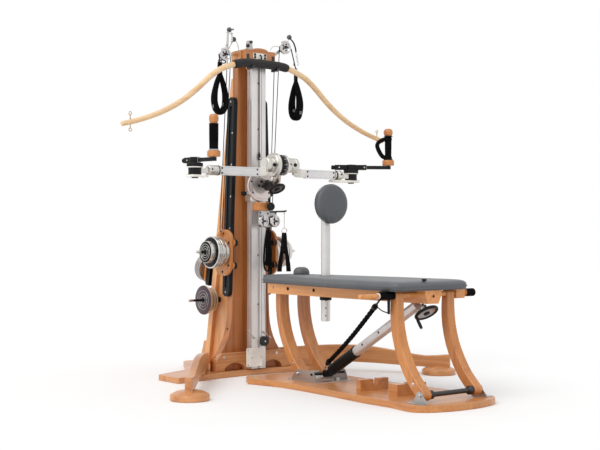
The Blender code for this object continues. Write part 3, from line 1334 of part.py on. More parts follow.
def arched_bar():
    """Bent wood bar with a screw eye above and below each tip, and its foam sleeve."""
    route = bar_route()
    tip_y = BAR_HALF_ROUTE[-1][0]
    radii = [BAR_R + (BAR_TIP_R - BAR_R) * max(0.0, abs(p.y) - 0.5) / (tip_y - 0.5) for p in route]
    shapes = [sweep(route, [(r, r) for r in radii], (1, 0, 0))]
    for side in (-1, 1):
        tip = Vector((BAR_X, side * (BAR_HALF_ROUTE[-1][0] - 0.055), BAR_HALF_ROUTE[-1][1] + 0.017))
        for up in (-1, 1):
            shapes.append(rod(tip + Vector((0, 0, up * BAR_R * 0.7)), tip + Vector((0, 0, up * 0.040)), 0.004, 8))
            eye = turned_ring([(0.006, -0.002), (0.012, -0.002), (0.012, 0.002), (0.006, 0.002)], (1, 0, 0),
                              tip + Vector((0, 0, up * 0.049)), 12)
            shapes.append(eye)
    made = fuse("arched_bar", wood_light(), shapes)
    set_origin(made, (BAR_X, 0.0, bar_centre_z()))

    y0 = SLEEVE_SHIFT - SLEEVE_HALF
    y1 = SLEEVE_SHIFT + SLEEVE_HALF
    inside = [p for p in route if y0 < p.y < y1]
    outer_r = BAR_R + SLEEVE_T
    fit = BAR_R + 0.0006
    sleeve = sweep(inside, [(outer_r, outer_r)] * len(inside), (1, 0, 0))
    core = sweep(route, [(fit, fit)] * len(route), (1, 0, 0))
    made = fuse("bar_sleeve", black(), [sleeve], [core])
    set_origin(made, (BAR_X, 0.0, bar_centre_z()))


def floor_pulley():
    grooved_wheel("floor_pulley", FLOOR_PULLEY, FLOOR_PULLEY_R, FLOOR_PULLEY_W, AXLE_R + RUN, (1, 0, 0), black())


def bench_outline():
    """Waisted outline of the bench's floor plate, half of it, from the left end to the right end."""
    x0, x1 = BENCH_X0, BENCH_X1
    mid = x0 + (x1 - x0) * 0.28
    half = [(x0, BENCH_LEFT_HALF - 0.05)] + arc(x0 + 0.03, BENCH_LEFT_HALF - 0.02, 0.03, 170, 100, 2)
    half += arc(x0 + 0.10, BENCH_SHOULDER_HALF - 0.035, 0.035, 110, 50, 3)
    half += [(mid - 0.20, BENCH_WAIST_HALF + 0.022), (mid - 0.12, BENCH_WAIST_HALF + 0.004),
             (mid, BENCH_WAIST_HALF), (mid + 0.35, BENCH_WAIST_HALF + 0.010),
             (mid + 0.65, BENCH_WAIST_HALF + 0.036), (x1 - 0.30, BENCH_RIGHT_HALF - 0.022)]
    corner = [(0.150, 0.0), (0.115, -0.006), (0.085, -0.025), (0.060, -0.055), (0.035, -0.105), (0.018, -0.170),
              (0.005, -0.245)]
    half += [(x1 - dx, BENCH_RIGHT_HALF + dy) for dx, dy in corner]
    return half


def bench_base():
    half = bench_outline()
    outline = half + [(x, -y) for x, y in reversed(half)]
    shapes = [slab(outline, "XY", 0.0, BENCH_T, EDGE)]
    top = BENCH_T + CRADLE_H
    n = CRADLE_NOTCH / 2
    for x0, x1, y0, y1 in CRADLES:
        side = [(y0, BENCH_T - 0.004), (y1, BENCH_T - 0.004), (y1, top), (CRADLE_NOTCH_Y + n, top)]
        side += arc(CRADLE_NOTCH_Y, top - CRADLE_NOTCH_D + n, n, 0, -180, 6)
        side += [(CRADLE_NOTCH_Y - n, top), (y0, top)]
        shapes.append(slab(side, "YZ", x0, x1))
    fuse("bench_base_plate", wood(), shapes)


def cheek(x, z_axle, y0, y1, rise, half_l, bore):
    """An upright bracket plate with a round top and the bore for an axle."""
    z0 = BENCH_T + GAP
    outline = [(x - half_l, z0), (x + half_l, z0)] + arc(x, z_axle, rise, 0, 180, 8)
    plate = slab(outline, "XZ", y0, y1)
    hole = rod((x, y0 - 0.01, z_axle), (x, y1 + 0.01, z_axle), bore, 20)
    return plate, hole


def leg_brackets():
    """Steel brackets bolted to the bench's floor plate, with the bores for the leg axles."""
    z0 = BENCH_T + GAP
    bore = LEG_AXLE_R + RUN
    inner = REAR_LEG_Y + REAR_LEG_T / 2 + 0.002
    foot = slab(rounded_rect(LEG_REAR_FOOT_X - 0.085, STRUT_FOOT[0] + 0.075, -inner - 0.016, inner + 0.016, 0.012, 3),
                "XY", z0, z0 + BRACKET_T)
    shapes = [foot]
    cuts = []
    top = REAR_BRACKET_TOP_Z
    rear, front = LEG_REAR_FOOT_X, STRUT_FOOT[0]
    outline = [(rear - 0.065, z0), (front + 0.048, z0)] + arc(front, top - 0.026, 0.026, 20, 90, 4)
    outline += arc(rear, top - 0.026, 0.026, 90, 150, 4)
    for y0 in (-inner - BRACKET_T, inner):
        shapes.append(slab(outline, "XZ", y0, y0 + BRACKET_T))
        for x, z, r in ((rear, LEG_PIVOT_Z, bore), (front, STRUT_FOOT[1], STRUT_PIN_R + RUN)):
            cuts.append(rod((x, y0 - 0.01, z), (x, y0 + BRACKET_T + 0.01, z), r, 20))
    fuse("rear_leg_bracket", steel(), shapes, cuts)
    for side, name in ((-1, "left"), (1, "right")):
        y_in = FRONT_LEG_Y + FRONT_LEG_T / 2 + 0.002
        plate, hole = cheek(LEG_FRONT_FOOT_X, LEG_PIVOT_Z, y_in, y_in + BRACKET_T, 0.024, BRACKET_HALF_L, bore)
        pad = slab(rounded_rect(LEG_FRONT_FOOT_X - BRACKET_HALF_L, LEG_FRONT_FOOT_X + BRACKET_HALF_L,
                                y_in - 0.0005, y_in + 0.050, 0.010, 3), "XY", z0, z0 + BRACKET_T)
        fuse(name + "_front_bracket", steel(), [mirrored(plate, side), mirrored(pad, side)], [mirrored(hole, side)])


def bench_leg(foot_x, y, width, thickness):
    """A bent leg: a bow in the XZ plane, round at the foot and at the top pivot."""
    centre = smooth_route([(foot_x + dx, 0.0, LEG_PIVOT_Z + dz) for dx, dz in BENCH_LEG_BOW], 2)
    half = width / 2
    outer = []
    inner = []
    for i, point in enumerate(centre):
        before = centre[max(0, i - 1)]
        after = centre[min(len(centre) - 1, i + 1)]
        along = (after - before).normalized()
        normal = Vector((along.z, 0.0, -along.x))
        wide = half + (LEG_TOP_R - half) * (i / (len(centre) - 1)) ** 4
        outer.append((point.x + normal.x * wide, point.z + normal.z * wide))
        inner.append((point.x - normal.x * wide, point.z - normal.z * wide))
    first = (centre[1] - centre[0]).normalized()
    lean = math.degrees(math.atan2(first.z, first.x))
    toe = arc(centre[0].x, centre[0].z, half, lean + 90, lean + 270, 8)[1:-1]
    last = centre[-1]
    rise = (centre[-1] - centre[-2]).normalized()
    lean = math.degrees(math.atan2(rise.z, rise.x))
    cap = arc(last.x, last.z, LEG_TOP_R, lean - 90, lean + 90, 8)[1:-1]
    outline = toe + outer + cap + list(reversed(inner))
    return slab(outline, "XZ", y - thickness / 2, y + thickness / 2, EDGE)


def leg_top_x(foot_x):
    return foot_x + LEG_TOP_SHIFT


def bench_legs():
    """Two pairs of bent legs that swing together. Each pair is one body with its axles."""
    top_z = LEG_PIVOT_Z + LEG_RISE
    shapes = []
    for side in (-1, 1):
        shapes.append(bench_leg(LEG_REAR_FOOT_X, side * REAR_LEG_Y, REAR_LEG_W, REAR_LEG_T))
    out = REAR_LEG_Y + REAR_LEG_T / 2 + 0.009
    shapes.append(rod((LEG_REAR_FOOT_X, -out, LEG_PIVOT_Z), (LEG_REAR_FOOT_X, out, LEG_PIVOT_Z), LEG_AXLE_R))
    x = leg_top_x(LEG_REAR_FOOT_X)
    out = FRAME_LEFT_HALF + 0.012
    shapes.append(rod((x, -out, top_z), (x, out, top_z), LEG_AXLE_R))
    made = fuse("rear_leg_pair", wood_light(), shapes)
    set_origin(made, (LEG_REAR_FOOT_X, 0.0, LEG_PIVOT_Z))

    shapes = []
    cuts = []
    for side in (-1, 1):
        shapes.append(bench_leg(LEG_FRONT_FOOT_X, side * FRONT_LEG_Y, FRONT_LEG_W, FRONT_LEG_T))
    out = FRONT_LEG_Y + FRONT_LEG_T / 2 + 0.016
    shapes.append(rod((LEG_FRONT_FOOT_X, -out, LEG_PIVOT_Z), (LEG_FRONT_FOOT_X, out, LEG_PIVOT_Z), LEG_AXLE_R))
    span = FRONT_LEG_Y - FRONT_LEG_T / 2 + 0.004
    shaft = [(FOOT_SHAFT_R * 1.5, 0.0), (FOOT_SHAFT_R * 1.5, 0.030), (FOOT_SHAFT_R * 0.85, 0.036),
             (FOOT_SHAFT_R * 0.85, 2 * span - 0.036), (FOOT_SHAFT_R * 1.5, 2 * span - 0.030),
             (FOOT_SHAFT_R * 1.5, 2 * span)]
    shapes.append(turned(shaft, (0, 1, 0), (LEG_FRONT_FOOT_X, -span, LEG_PIVOT_Z), FACETS))
    x = leg_top_x(LEG_FRONT_FOOT_X)
    for side in (-1, 1):
        y = side * FRONT_LEG_Y
        cuts.append(rod((x, y - FRONT_LEG_T, top_z), (x, y + FRONT_LEG_T, top_z), DOWEL_R + RUN, FACETS))
    made = fuse("front_leg_pair", wood_light(), shapes, cuts)
    set_origin(made, (LEG_FRONT_FOOT_X, 0.0, LEG_PIVOT_Z))


def frame_half(x):
    """Centre line of the frame's side rails."""
    share = (x - FRAME_X0) / (FRAME_X1 - FRAME_X0)
    return FRAME_LEFT_HALF + (FRAME_RIGHT_HALF - FRAME_LEFT_HALF) * share


def bench_frame():
    """Wooden frame under the pad: side rails, cross members, end block and the cross dowel."""
    z1 = PAD_Z0 - GAP - 0.0004
    z0 = z1 - FRAME_H
    pivot_z = LEG_PIVOT_Z + LEG_RISE
    rear_x = leg_top_x(LEG_REAR_FOOT_X)
    front_x = leg_top_x(LEG_FRONT_FOOT_X)
    shapes = []
    cuts = []
    for side in (-1, 1):
        a, b = frame_half(FRAME_X0), frame_half(FRAME_X1)
        t = FRAME_RAIL_T / 2
        plan = [(FRAME_X0, side * (a - t)), (FRAME_X1, side * (b - t)), (FRAME_X1, side * (b + t)),
                (FRAME_X0, side * (a + t))]
        shapes.append(slab(plan, "XY", z0, z1))
    for x, wide in ((FRAME_X0 + 0.0125, 0.0125), (POST_X, 0.060), ((FRAME_X0 + FRAME_X1) / 2 + 0.170, 0.030), (FRAME_X1 - 0.040, 0.040)):
        reach = frame_half(x)
        shapes.append(box(x - wide, x + wide, -reach, reach, z1 - 0.030, z1))
    nose = END_BLOCK_HALF
    octagon = [(-nose, z1), (nose, z1), (nose, z1 - 0.022), (nose * 0.62, z1 - 0.072), (-nose * 0.62, z1 - 0.072),
               (-nose, z1 - 0.022)]
    shapes.append(slab(octagon, "YZ", END_BLOCK_X0, END_BLOCK_X1))
    length = DOWEL_Y1 - DOWEL_Y0
    dowel = [(DOWEL_TIP_R - 0.003, -DOWEL_TIP_L), (DOWEL_TIP_R, 0.004 - DOWEL_TIP_L), (DOWEL_TIP_R, 0.0),
             (DOWEL_GRIP_R - 0.003, 0.0),
             (DOWEL_GRIP_R, 0.003), (DOWEL_GRIP_R, DOWEL_GRIP_L), (DOWEL_R, DOWEL_GRIP_L),
             (DOWEL_R, length - DOWEL_CAP_L), (DOWEL_GRIP_R, length - DOWEL_CAP_L), (DOWEL_GRIP_R, length - 0.004),
             (DOWEL_GRIP_R - 0.004, length)]
    shapes.append(turned(dowel, (0, 1, 0), (front_x, DOWEL_Y0, pivot_z), FACETS))
    shapes.append(box(front_x - 0.030, front_x + 0.030, SIDE_BLOCK_Y0, SIDE_BLOCK_Y0 + SIDE_BLOCK_L,
                      z1 - 0.052, z1 - 0.001))
    cuts.append(rod((POST_X, 0, z0 - 0.05), (POST_X, 0, z1 + 0.05), POST_R + POST_FIT, FINE_FACETS))
    cuts.append(rod((rear_x, -0.3, pivot_z), (rear_x, 0.3, pivot_z), LEG_AXLE_R + RUN, 20))
    slope = strut_axis()
    bore_start = Vector((STRUT_TOP[0], 0.0, STRUT_TOP[1])) - slope * 0.10
    bore_end = Vector((STRUT_TOP[0], 0.0, STRUT_TOP[1])) + slope * 0.040
    cuts.append(rod(bore_start, bore_end, STRUT_R + 0.009, FACETS))
    made = fuse("bench_frame", wood_light(), shapes, cuts)
    set_origin(made, (rear_x, 0.0, pivot_z))


def pad_outline(inset):
    """Plan of the pad: narrow at the tower end, wide at the far end, with round corners."""
    x0, x1 = PAD_X0 + inset, PAD_X1 - inset
    a, b = PAD_LEFT_HALF - inset, PAD_RIGHT_HALF - inset
    r = 0.045
    half = arc(x0 + r, a - r, r, 180, 95, 4)
    half += [(x0 + 0.35, a + (b - a) * 0.30), (x0 + 0.62, a + (b - a) * 0.66), (x0 + 0.90, a + (b - a) * 0.94),
             (x0 + 1.05, b)]
    half += arc(x1 - r, b - r, r, 90, 0, 4)
    return half + [(x, -y) for x, y in reversed(half)]


def lofted(levels):
    """A closed body through stacked outlines: levels is a list of (outline, z)."""
    bm = bmesh.new()
    rings = [[bm.verts.new((x, y, z)) for x, y in outline] for outline, z in levels]
    for low, high in zip(rings, rings[1:]):
        count = len(low)
        for i in range(count):
            j = (i + 1) % count
            bm.faces.new((low[i], low[j], high[j], high[i]))
    bm.faces.new(rings[0])
    bm.faces.new(rings[-1])
    bmesh.ops.recalc_face_normals(bm, faces=bm.faces)
    return bm


def bench_pad():
    """Upholstered pad with drawn-in sides and a low crown, and the small saddle cushion on it."""
    z0 = PAD_Z0
    t = PAD_T
    levels = [(pad_outline(0.006), z0), (pad_outline(0.001), z0 + t * 0.12), (pad_outline(0.0), z0 + t * 0.45),
              (pad_outline(0.002), z0 + t * 0.72), (pad_outline(0.010), z0 + t * 0.90),
              (pad_outline(0.030), z0 + t * 0.975), (pad_outline(0.080), z0 + t)]
    shapes = [lofted(levels)]
    bump = []
    for inset, up in ((0.004, -0.012), (0.0, 0.012), (0.003, 0.028), (0.014, 0.042), (0.030, 0.050)):
        bump.append((rounded_rect(BUMP_X - BUMP_L / 2 + inset, BUMP_X + BUMP_L / 2 - inset, -BUMP_HALF + inset,
                                  BUMP_HALF - inset, 0.040 - inset * 0.6), z0 + t + up * BUMP_H / 0.050))
    shapes.append(lofted(bump))
    hole = rod((POST_X, 0, z0 - 0.02), (POST_X, 0, z0 + t + 0.03), POST_R + POST_FIT + 0.004, FINE_FACETS)
    made = fuse("bench_pad", grey_pad(), shapes, [hole])
    set_origin(made, (leg_top_x(LEG_REAR_FOOT_X), 0.0, LEG_PIVOT_Z + LEG_RISE))


def head_post():
    post = turned([(POST_R - 0.002, POST_Z0), (POST_R, POST_Z0 + 0.002), (POST_R, POST_Z1 - 0.003),
                   (POST_R - 0.003, POST_Z1)], (0, 0, 1), (POST_X, 0, 0), FINE_FACETS)
    flat = box(POST_X + POST_R - 0.004, POST_X + POST_R + 0.006, -0.030, 0.030, HEADPAD_Z - 0.040,
               HEADPAD_Z + 0.040)
    made = fuse("head_post", aluminium(), [post, flat])
    set_origin(made, (POST_X, 0.0, PAD_Z0))
    r, t, c = HEADPAD_R, HEADPAD_T, HEADPAD_CROWN
    profile = [(r * 0.93, 0.0), (r * 0.985, t * 0.10), (r, t * 0.32), (r * 0.985, t * 0.58), (r * 0.93, t * 0.76),
               (r * 0.80, t - c * 0.62), (r * 0.55, t - c * 0.22), (0.0, t)]
    start = (POST_X + POST_R + 0.006 + GAP, 0.0, HEADPAD_Z)
    made = fuse("head_pad", grey_pad(), [turned(profile, (1, 0, 0), start, FINE_FACETS)])
    set_origin(made, start)


def strut_axis():
    return Vector((STRUT_TOP[0] - STRUT_FOOT[0], 0.0, STRUT_TOP[1] - STRUT_FOOT[1])).normalized()


def strut_length():
    return math.hypot(STRUT_TOP[0] - STRUT_FOOT[0], STRUT_TOP[1] - STRUT_FOOT[1])


def jack_strut():
    """Lower tube on its pin, and the upper tube that slides in it, up to the bench's end block."""
    foot = Vector((STRUT_FOOT[0], 0.0, STRUT_FOOT[1]))
    axis = strut_axis()
    eye = rod((foot.x, -STRUT_EYE_HALF, foot.z), (foot.x, STRUT_EYE_HALF, foot.z), 0.022, 20)
    neck = 0.044
    tube = turned([(0.019, 0.0), (0.019, neck), (STRUT_LOWER_R, neck + 0.002), (STRUT_LOWER_R, STRUT_LOWER_L)], axis,
                  foot, FACETS)
    pin_half = REAR_LEG_Y + REAR_LEG_T / 2 + 0.002 + BRACKET_T + 0.005
    pin = rod((foot.x, -pin_half, foot.z), (foot.x, pin_half, foot.z), STRUT_PIN_R, 16)
    bore_r = STRUT_R + STRUT_BORE_FIT
    bore_start = 0.055
    bore = rod(foot + axis * bore_start, foot + axis * (STRUT_LOWER_L + 0.02), bore_r, FACETS)
    made = fuse("strut_lower", black(), [tube, eye, pin], [bore])
    set_origin(made, foot)

    length = strut_length()
    start = 0.250
    tube = rod(foot + axis * start, foot + axis * (length + 0.012), STRUT_R, FACETS)
    made = fuse("strut_upper", aluminium(), [tube])
    set_origin(made, foot + axis * start)


def tension_cord():
    """Twisted black cord from below the dowel's near grip down to the foot of the strut."""
    a = Vector(CORD_BOTTOM)
    b = Vector(CORD_TOP)
    spots = [a.lerp(b, t) + Vector((0, 0, -sag)) for t, sag in
             ((0.0, 0.0), (0.12, 0.004), (0.28, 0.010), (0.45, 0.013), (0.62, 0.012), (0.80, 0.007), (1.0, 0.0))]
    rope("tension_cord", smooth_route(spots, 4), CORD_R, black())


clear_scene()
tower_base()
tower_column()
rear_frame()
head_block()
front_cross_board()
arched_legs()
guide_rail()
side_tracks()
side_weights()
storage_weights()
rear_weights()
top_pulleys()
weight_ropes()
front_rope()
stirrup_loop("left", -1, LEFT_STIRRUP_Y, LEFT_PULLEY, "X")
stirrup_loop("right", 1, RIGHT_STIRRUP_Y, RIGHT_PULLEY, "Y")
handle_carriage()
hand_wheel("height_wheel", WHEEL_CENTRE, WHEEL_R, WHEEL_TILT, WHEEL_STEM, WHEEL_CRANK_L)
stop_block()
arms()
crank("left", -1, LEFT_REACH, LEFT_ANGLE, LEFT_TAIL, LEFT_SLEEVE)
crank("right", 1, RIGHT_REACH, RIGHT_ANGLE, RIGHT_TAIL, RIGHT_SLEEVE)
grip("left", -1, LEFT_REACH, LEFT_ANGLE, LEFT_GRIP, False)
grip("right", 1, RIGHT_REACH, RIGHT_ANGLE, RIGHT_GRIP, True)
hanging_straps()
arched_bar()
floor_pulley()
bench_base()
leg_brackets()
bench_legs()
bench_frame()
bench_pad()
head_post()
jack_strut()
hand_wheel("jack_wheel", JACK_WHEEL_CENTRE, JACK_WHEEL_R, JACK_WHEEL_TILT, JACK_STEM, JACK_CRANK_L)
tension_cord()
print("objects", len([o for o in bpy.data.objects if o.type in ("MESH", "CURVE")]))
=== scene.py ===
"""Looks of a wooden pulley tower and its bench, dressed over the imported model.

Metres, +Z up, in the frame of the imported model: +X points from the tower to the bench.
"""
import math

import bmesh
import bpy
from mathutils import Matrix, Vector

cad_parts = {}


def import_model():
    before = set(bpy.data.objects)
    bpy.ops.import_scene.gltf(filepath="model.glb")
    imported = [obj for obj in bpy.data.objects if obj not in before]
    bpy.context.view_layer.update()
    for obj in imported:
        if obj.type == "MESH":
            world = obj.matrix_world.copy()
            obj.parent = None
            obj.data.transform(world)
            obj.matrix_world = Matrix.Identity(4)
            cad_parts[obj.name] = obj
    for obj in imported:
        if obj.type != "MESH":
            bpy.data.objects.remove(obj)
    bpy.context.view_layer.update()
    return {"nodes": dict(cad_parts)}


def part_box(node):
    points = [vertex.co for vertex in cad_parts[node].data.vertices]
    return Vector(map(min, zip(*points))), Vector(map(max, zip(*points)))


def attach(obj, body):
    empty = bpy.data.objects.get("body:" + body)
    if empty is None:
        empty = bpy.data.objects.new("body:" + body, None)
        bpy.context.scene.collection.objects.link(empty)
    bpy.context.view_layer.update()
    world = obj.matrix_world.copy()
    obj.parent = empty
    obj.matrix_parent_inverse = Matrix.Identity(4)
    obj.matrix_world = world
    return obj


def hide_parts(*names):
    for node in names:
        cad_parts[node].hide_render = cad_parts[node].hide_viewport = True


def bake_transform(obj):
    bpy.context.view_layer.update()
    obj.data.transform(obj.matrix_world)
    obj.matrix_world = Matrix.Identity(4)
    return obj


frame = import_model()
NODES = frame["nodes"]
EDGE_SLOPE = 0.0333
LEAN = math.atan(EDGE_SLOPE)
SPINE_SLOPE = 0.170
SPINE_TOP_X, SPINE_TOP_Z = -0.057, 1.95
X, Y, Z = Vector((1, 0, 0)), Vector((0, 1, 0)), Vector((0, 0, 1))


# Colours and materials

def srgb(red, green, blue):
    """A colour as it is seen, as the linear colour a shader takes."""
    parts = []
    for value in (red, green, blue):
        v = value / 255.0
        parts.append(v / 12.92 if v <= 0.04045 else ((v + 0.055) / 1.055) ** 2.4)
    return (*parts, 1.0)


class Paint:
    """One material under construction: its node tree and its Principled shader."""

    def __init__(self, name, roughness, metallic=0.0, coat=0.0):
        self.mat = bpy.data.materials.new(name)
        self.mat.use_nodes = True
        self.tree = self.mat.node_tree
        self.shader = self.tree.nodes["Principled BSDF"]
        for key, value in (("Roughness", roughness), ("Metallic", metallic), ("Coat Weight", coat),
                ("Coat Roughness", 0.2)):
            self.shader.inputs[key].default_value = value
        self.place = self.tree.nodes.new("ShaderNodeTexCoord").outputs["Object"]

    def put(self, socket, value):
        if isinstance(value, bpy.types.NodeSocket):
            self.tree.links.new(value, socket)
        else:
            socket.default_value = value

    def stretched(self, scale, turn=None):
        """Object coordinates, turned first and then scaled along each axis."""
        place = self.place
        if turn:
            node = self.tree.nodes.new("ShaderNodeMapping")
            node.inputs["Rotation"].default_value = turn
            self.put(node.inputs["Vector"], place)
            place = node.outputs[0]
        node = self.tree.nodes.new("ShaderNodeMapping")
        node.inputs["Scale"].default_value = scale
        self.put(node.inputs["Vector"], place)
        return node.outputs[0]

    def noise(self, scale, detail=3.0, distortion=0.0, turn=None):
        node = self.tree.nodes.new("ShaderNodeTexNoise")
        self.put(node.inputs["Vector"], self.stretched(scale, turn))
        node.inputs["Scale"].default_value = 1.0
        node.inputs["Detail"].default_value = detail
        node.inputs["Distortion"].default_value = distortion
        return node.outputs["Fac"]

    def wave(self, scale, direction, distortion=0.0):
        node = self.tree.nodes.new("ShaderNodeTexWave")
        node.bands_direction = direction
        self.put(node.inputs["Vector"], self.place)
        node.inputs["Scale"].default_value = scale
        node.inputs["Distortion"].default_value = distortion
        return node.outputs["Fac"]

    def math(self, operation, a, b):
        node = self.tree.nodes.new("ShaderNodeMath")
        node.operation = operation
        self.put(node.inputs[0], a)
        self.put(node.inputs[1], b)
        return node.outputs[0]

    def axis(self, name):
        node = self.tree.nodes.new("ShaderNodeSeparateXYZ")
        self.put(node.inputs[0], self.place)
        return node.outputs[name]

    def span(self, value, low, high, to_low=0.0, to_high=1.0):
        node = self.tree.nodes.new("ShaderNodeMapRange")
        self.put(node.inputs["Value"], value)
        for key, number in (("From Min", low), ("From Max", high), ("To Min", to_low), ("To Max", to_high)):
            node.inputs[key].default_value = number
        return node.outputs[0]

    def ramp(self, value, stops):
        node = self.tree.nodes.new("ShaderNodeValToRGB")
        band = node.color_ramp
        band.elements[0].position, band.elements[0].color = stops[0]
        band.elements[1].position, band.elements[1].color = stops[-1]
        for position, colour in stops[1:-1]:
            band.elements.new(position).color = colour
        self.put(node.inputs[0], value)
        return node.outputs["Color"]

    def mix(self, share, a, b, kind="MIX"):
        node = self.tree.nodes.new("ShaderNodeMix")
        node.data_type = "RGBA"
        node.blend_type = kind
        self.put(node.inputs["Factor"], share)
        self.put(node.inputs[6], a)
        self.put(node.inputs[7], b)
        return node.outputs[2]

    def colour(self, value):
        self.put(self.shader.inputs["Base Color"], value)

    def roughness(self, value):
        self.put(self.shader.inputs["Roughness"], value)

    def metallic(self, value):
        self.put(self.shader.inputs["Metallic"], value)

    def bump(self, height, depth, strength=0.5):
        node = self.tree.nodes.new("ShaderNodeBump")
        node.inputs["Strength"].default_value = strength
        node.inputs["Distance"].default_value = depth
        self.put(node.inputs["Height"], height)
        self.put(self.shader.inputs["Normal"], node.outputs[0])


def along(grain, fine, coarse):
    return tuple((coarse if axis == grain else fine for axis in "XYZ"))


def wood_tone(paint, light, dark, grain, turn=None):
    """Colour and height of straight-grained wood."""
    mid = tuple(((a * 1.2 + b * 0.8) / 2 for a, b in zip(light, dark)))
    flow = paint.noise(along(grain, 13.0, 0.9), 5.0, 1.1, turn)
    lines = paint.noise(along(grain, 70.0, 1.6), 3.0, 0.4, turn)
    pores = paint.noise(along(grain, 420.0, 14.0), 2.0, 0.0, turn)
    patches = paint.noise((1.7, 1.7, 1.7), 2.0)
    share = paint.math("ADD", paint.math("MULTIPLY", flow, 0.55), paint.math("MULTIPLY", lines, 0.3))
    share = paint.math("ADD", share, paint.math("MULTIPLY", patches, 0.15))
    tone = paint.ramp(share, [(0.36, dark), (0.49, mid), (0.6, light)])
    specks = paint.ramp(pores, [(0.34, (0.74, 0.66, 0.6, 1.0)), (0.47, (1.0, 1.0, 1.0, 1.0))])
    height = paint.math("ADD", paint.math("MULTIPLY", lines, 0.6), paint.math("MULTIPLY", pores, 0.4))
    return paint.mix(0.55, tone, specks, "MULTIPLY"), height


def wood(name, light, dark, grain, turn=None):
    paint = Paint(name, 0.36, coat=0.25)
    tone, height = wood_tone(paint, light, dark, grain, turn)
    paint.colour(tone)
    paint.bump(height, 0.0006, 0.35)
    paint.roughness(paint.span(height, 0.3, 0.7, 0.3, 0.44))
    return paint.mat


HONEY = srgb(212, 150, 96)
HONEY_DARK = srgb(178, 112, 62)
# Amber wood for the tower column, darker than the honey wood: partly the board's own tone and partly painted
# shade on its faces turned from the lamp.
AMBER = srgb(186, 114, 56)
AMBER_DARK = srgb(142, 80, 32)
PALE = srgb(206, 136, 72)
PALE_DARK = srgb(172, 102, 46)
BIRCH = srgb(242, 208, 164)
BIRCH_DARK = srgb(222, 178, 126)


def metal(name, tone, roughness, grain="Z", metallic=1.0):
    """Brushed metal: fine lines along the grain and dull clouds."""
    paint = Paint(name, roughness, metallic)
    lines = paint.noise(along(grain, 900.0, 6.0), 2.0)
    cloud = paint.noise((6.0, 6.0, 6.0), 3.0)
    dull = tuple((c * 0.8 for c in tone[:3])) + (1.0,)
    paint.colour(paint.mix(paint.span(cloud, 0.35, 0.7, 0.0, 0.6), tone, dull))
    low = paint.shader.inputs["Roughness"].default_value
    paint.roughness(paint.span(lines, 0.3, 0.7, low - 0.05, low + 0.1))
    paint.bump(lines, 0.00015, 0.25)
    return paint.mat


def plastic(name, tone, roughness=0.42, grain=260.0, depth=0.0003):
    """Moulded plastic with a fine texture and slightly worn tone."""
    paint = Paint(name, roughness)
    texture = paint.noise((grain, grain, grain), 3.0)
    cloud = paint.noise((9.0, 9.0, 9.0), 3.0)
    pale = tuple((min(1.0, c * 1.3 + 0.002) for c in tone[:3])) + (1.0,)
    paint.colour(paint.mix(paint.span(cloud, 0.4, 0.75), tone, pale))
    if max(tone[:3]) < 0.05:
        paint.shader.inputs["Specular IOR Level"].default_value = 0.22
    paint.roughness(paint.span(cloud, 0.3, 0.7, roughness - 0.06, roughness + 0.1))
    paint.bump(texture, depth, 0.5)
    return paint.mat


def foam(name, tone):
    """Closed-cell foam or neoprene: matt, with small pits."""
    paint = Paint(name, 0.86)
    pits = paint.noise((520.0, 520.0, 520.0), 2.0)
    cloud = paint.noise((14.0, 14.0, 14.0), 3.0)
    pale = tuple((c * 1.5 + 0.003 for c in tone[:3])) + (1.0,)
    paint.colour(paint.mix(paint.span(cloud, 0.35, 0.75, 0.0, 0.7), tone, pale))
    paint.bump(pits, 0.0008, 0.6)
    paint.shader.inputs["Specular IOR Level"].default_value = 0.05
    return paint.mat


def webbing(name, tone, scale=150.0):
    """Woven strap: two sets of crossing threads."""
    paint = Paint(name, 0.72)
    threads = paint.math("MULTIPLY", paint.wave(scale, "Z", 0.5), paint.wave(scale * 1.3, "DIAGONAL", 0.5))
    pale = tuple((c * 1.6 + 0.003 for c in tone[:3])) + (1.0,)
    paint.colour(paint.mix(threads, tone, pale))
    paint.bump(threads, 0.0008, 0.7)
    paint.shader.inputs["Specular IOR Level"].default_value = 0.05
    return paint.mat


def vinyl(name, tone):
    """Smooth upholstery with a fine leather grain."""
    paint = Paint(name, 0.46)
    node = paint.tree.nodes.new("ShaderNodeTexVoronoi")
    paint.put(node.inputs["Vector"], paint.stretched((430.0, 430.0, 430.0)))
    node.inputs["Scale"].default_value = 1.0
    cloud = paint.noise((5.0, 5.0, 5.0), 4.0)
    pale = tuple((c * 1.22 for c in tone[:3])) + (1.0,)
    paint.colour(paint.mix(paint.span(cloud, 0.35, 0.7), tone, pale))
    paint.roughness(paint.span(cloud, 0.3, 0.7, 0.4, 0.54))
    paint.bump(node.outputs["Distance"], 0.0005, 0.35)
    paint.shader.inputs["Sheen Weight"].default_value = 0.12
    return paint.mat


JET = srgb(17, 16, 17)

WOOD_Y = wood("wood_crosswise", HONEY, HONEY_DARK, "Y")
WOOD_FRONT_SHADED = wood("wood_front_board_shaded", AMBER, AMBER_DARK, "Z")
WOOD_LEG = {side: wood(name, HONEY, HONEY_DARK, "X", (0.0, 0.0, -side * 0.656))
    for side, name in ((-1, "wood_left_leg"), (1, "wood_right_leg"))}
PALE_Z = wood("pale_wood_upright", PALE, PALE_DARK, "Z")
PALE_X = wood("pale_wood_lengthwise", PALE, PALE_DARK, "X")
PALE_Y = wood("pale_wood_crosswise", PALE, PALE_DARK, "Y")
BENT_WOOD = wood("bent_bar_wood", BIRCH, BIRCH_DARK, "Y")
BASE_WOOD = wood("bench_plate_wood", srgb(206, 140, 80), srgb(176, 108, 54), "X")
RAIL_SILVER = metal("anodised_rail", srgb(226, 222, 220), 0.34, "Z", 0.75)
ARM_SILVER = metal("anodised_arm", srgb(226, 224, 224), 0.36, "Y", 0.55)
CAST_SILVER = metal("cast_silver", srgb(218, 214, 208), 0.3, "Y", 0.85)
STEEL = metal("brushed_plate", srgb(190, 188, 186), 0.32, "X")
CHROME = metal("polished_chrome", srgb(206, 203, 202), 0.1, "Y")
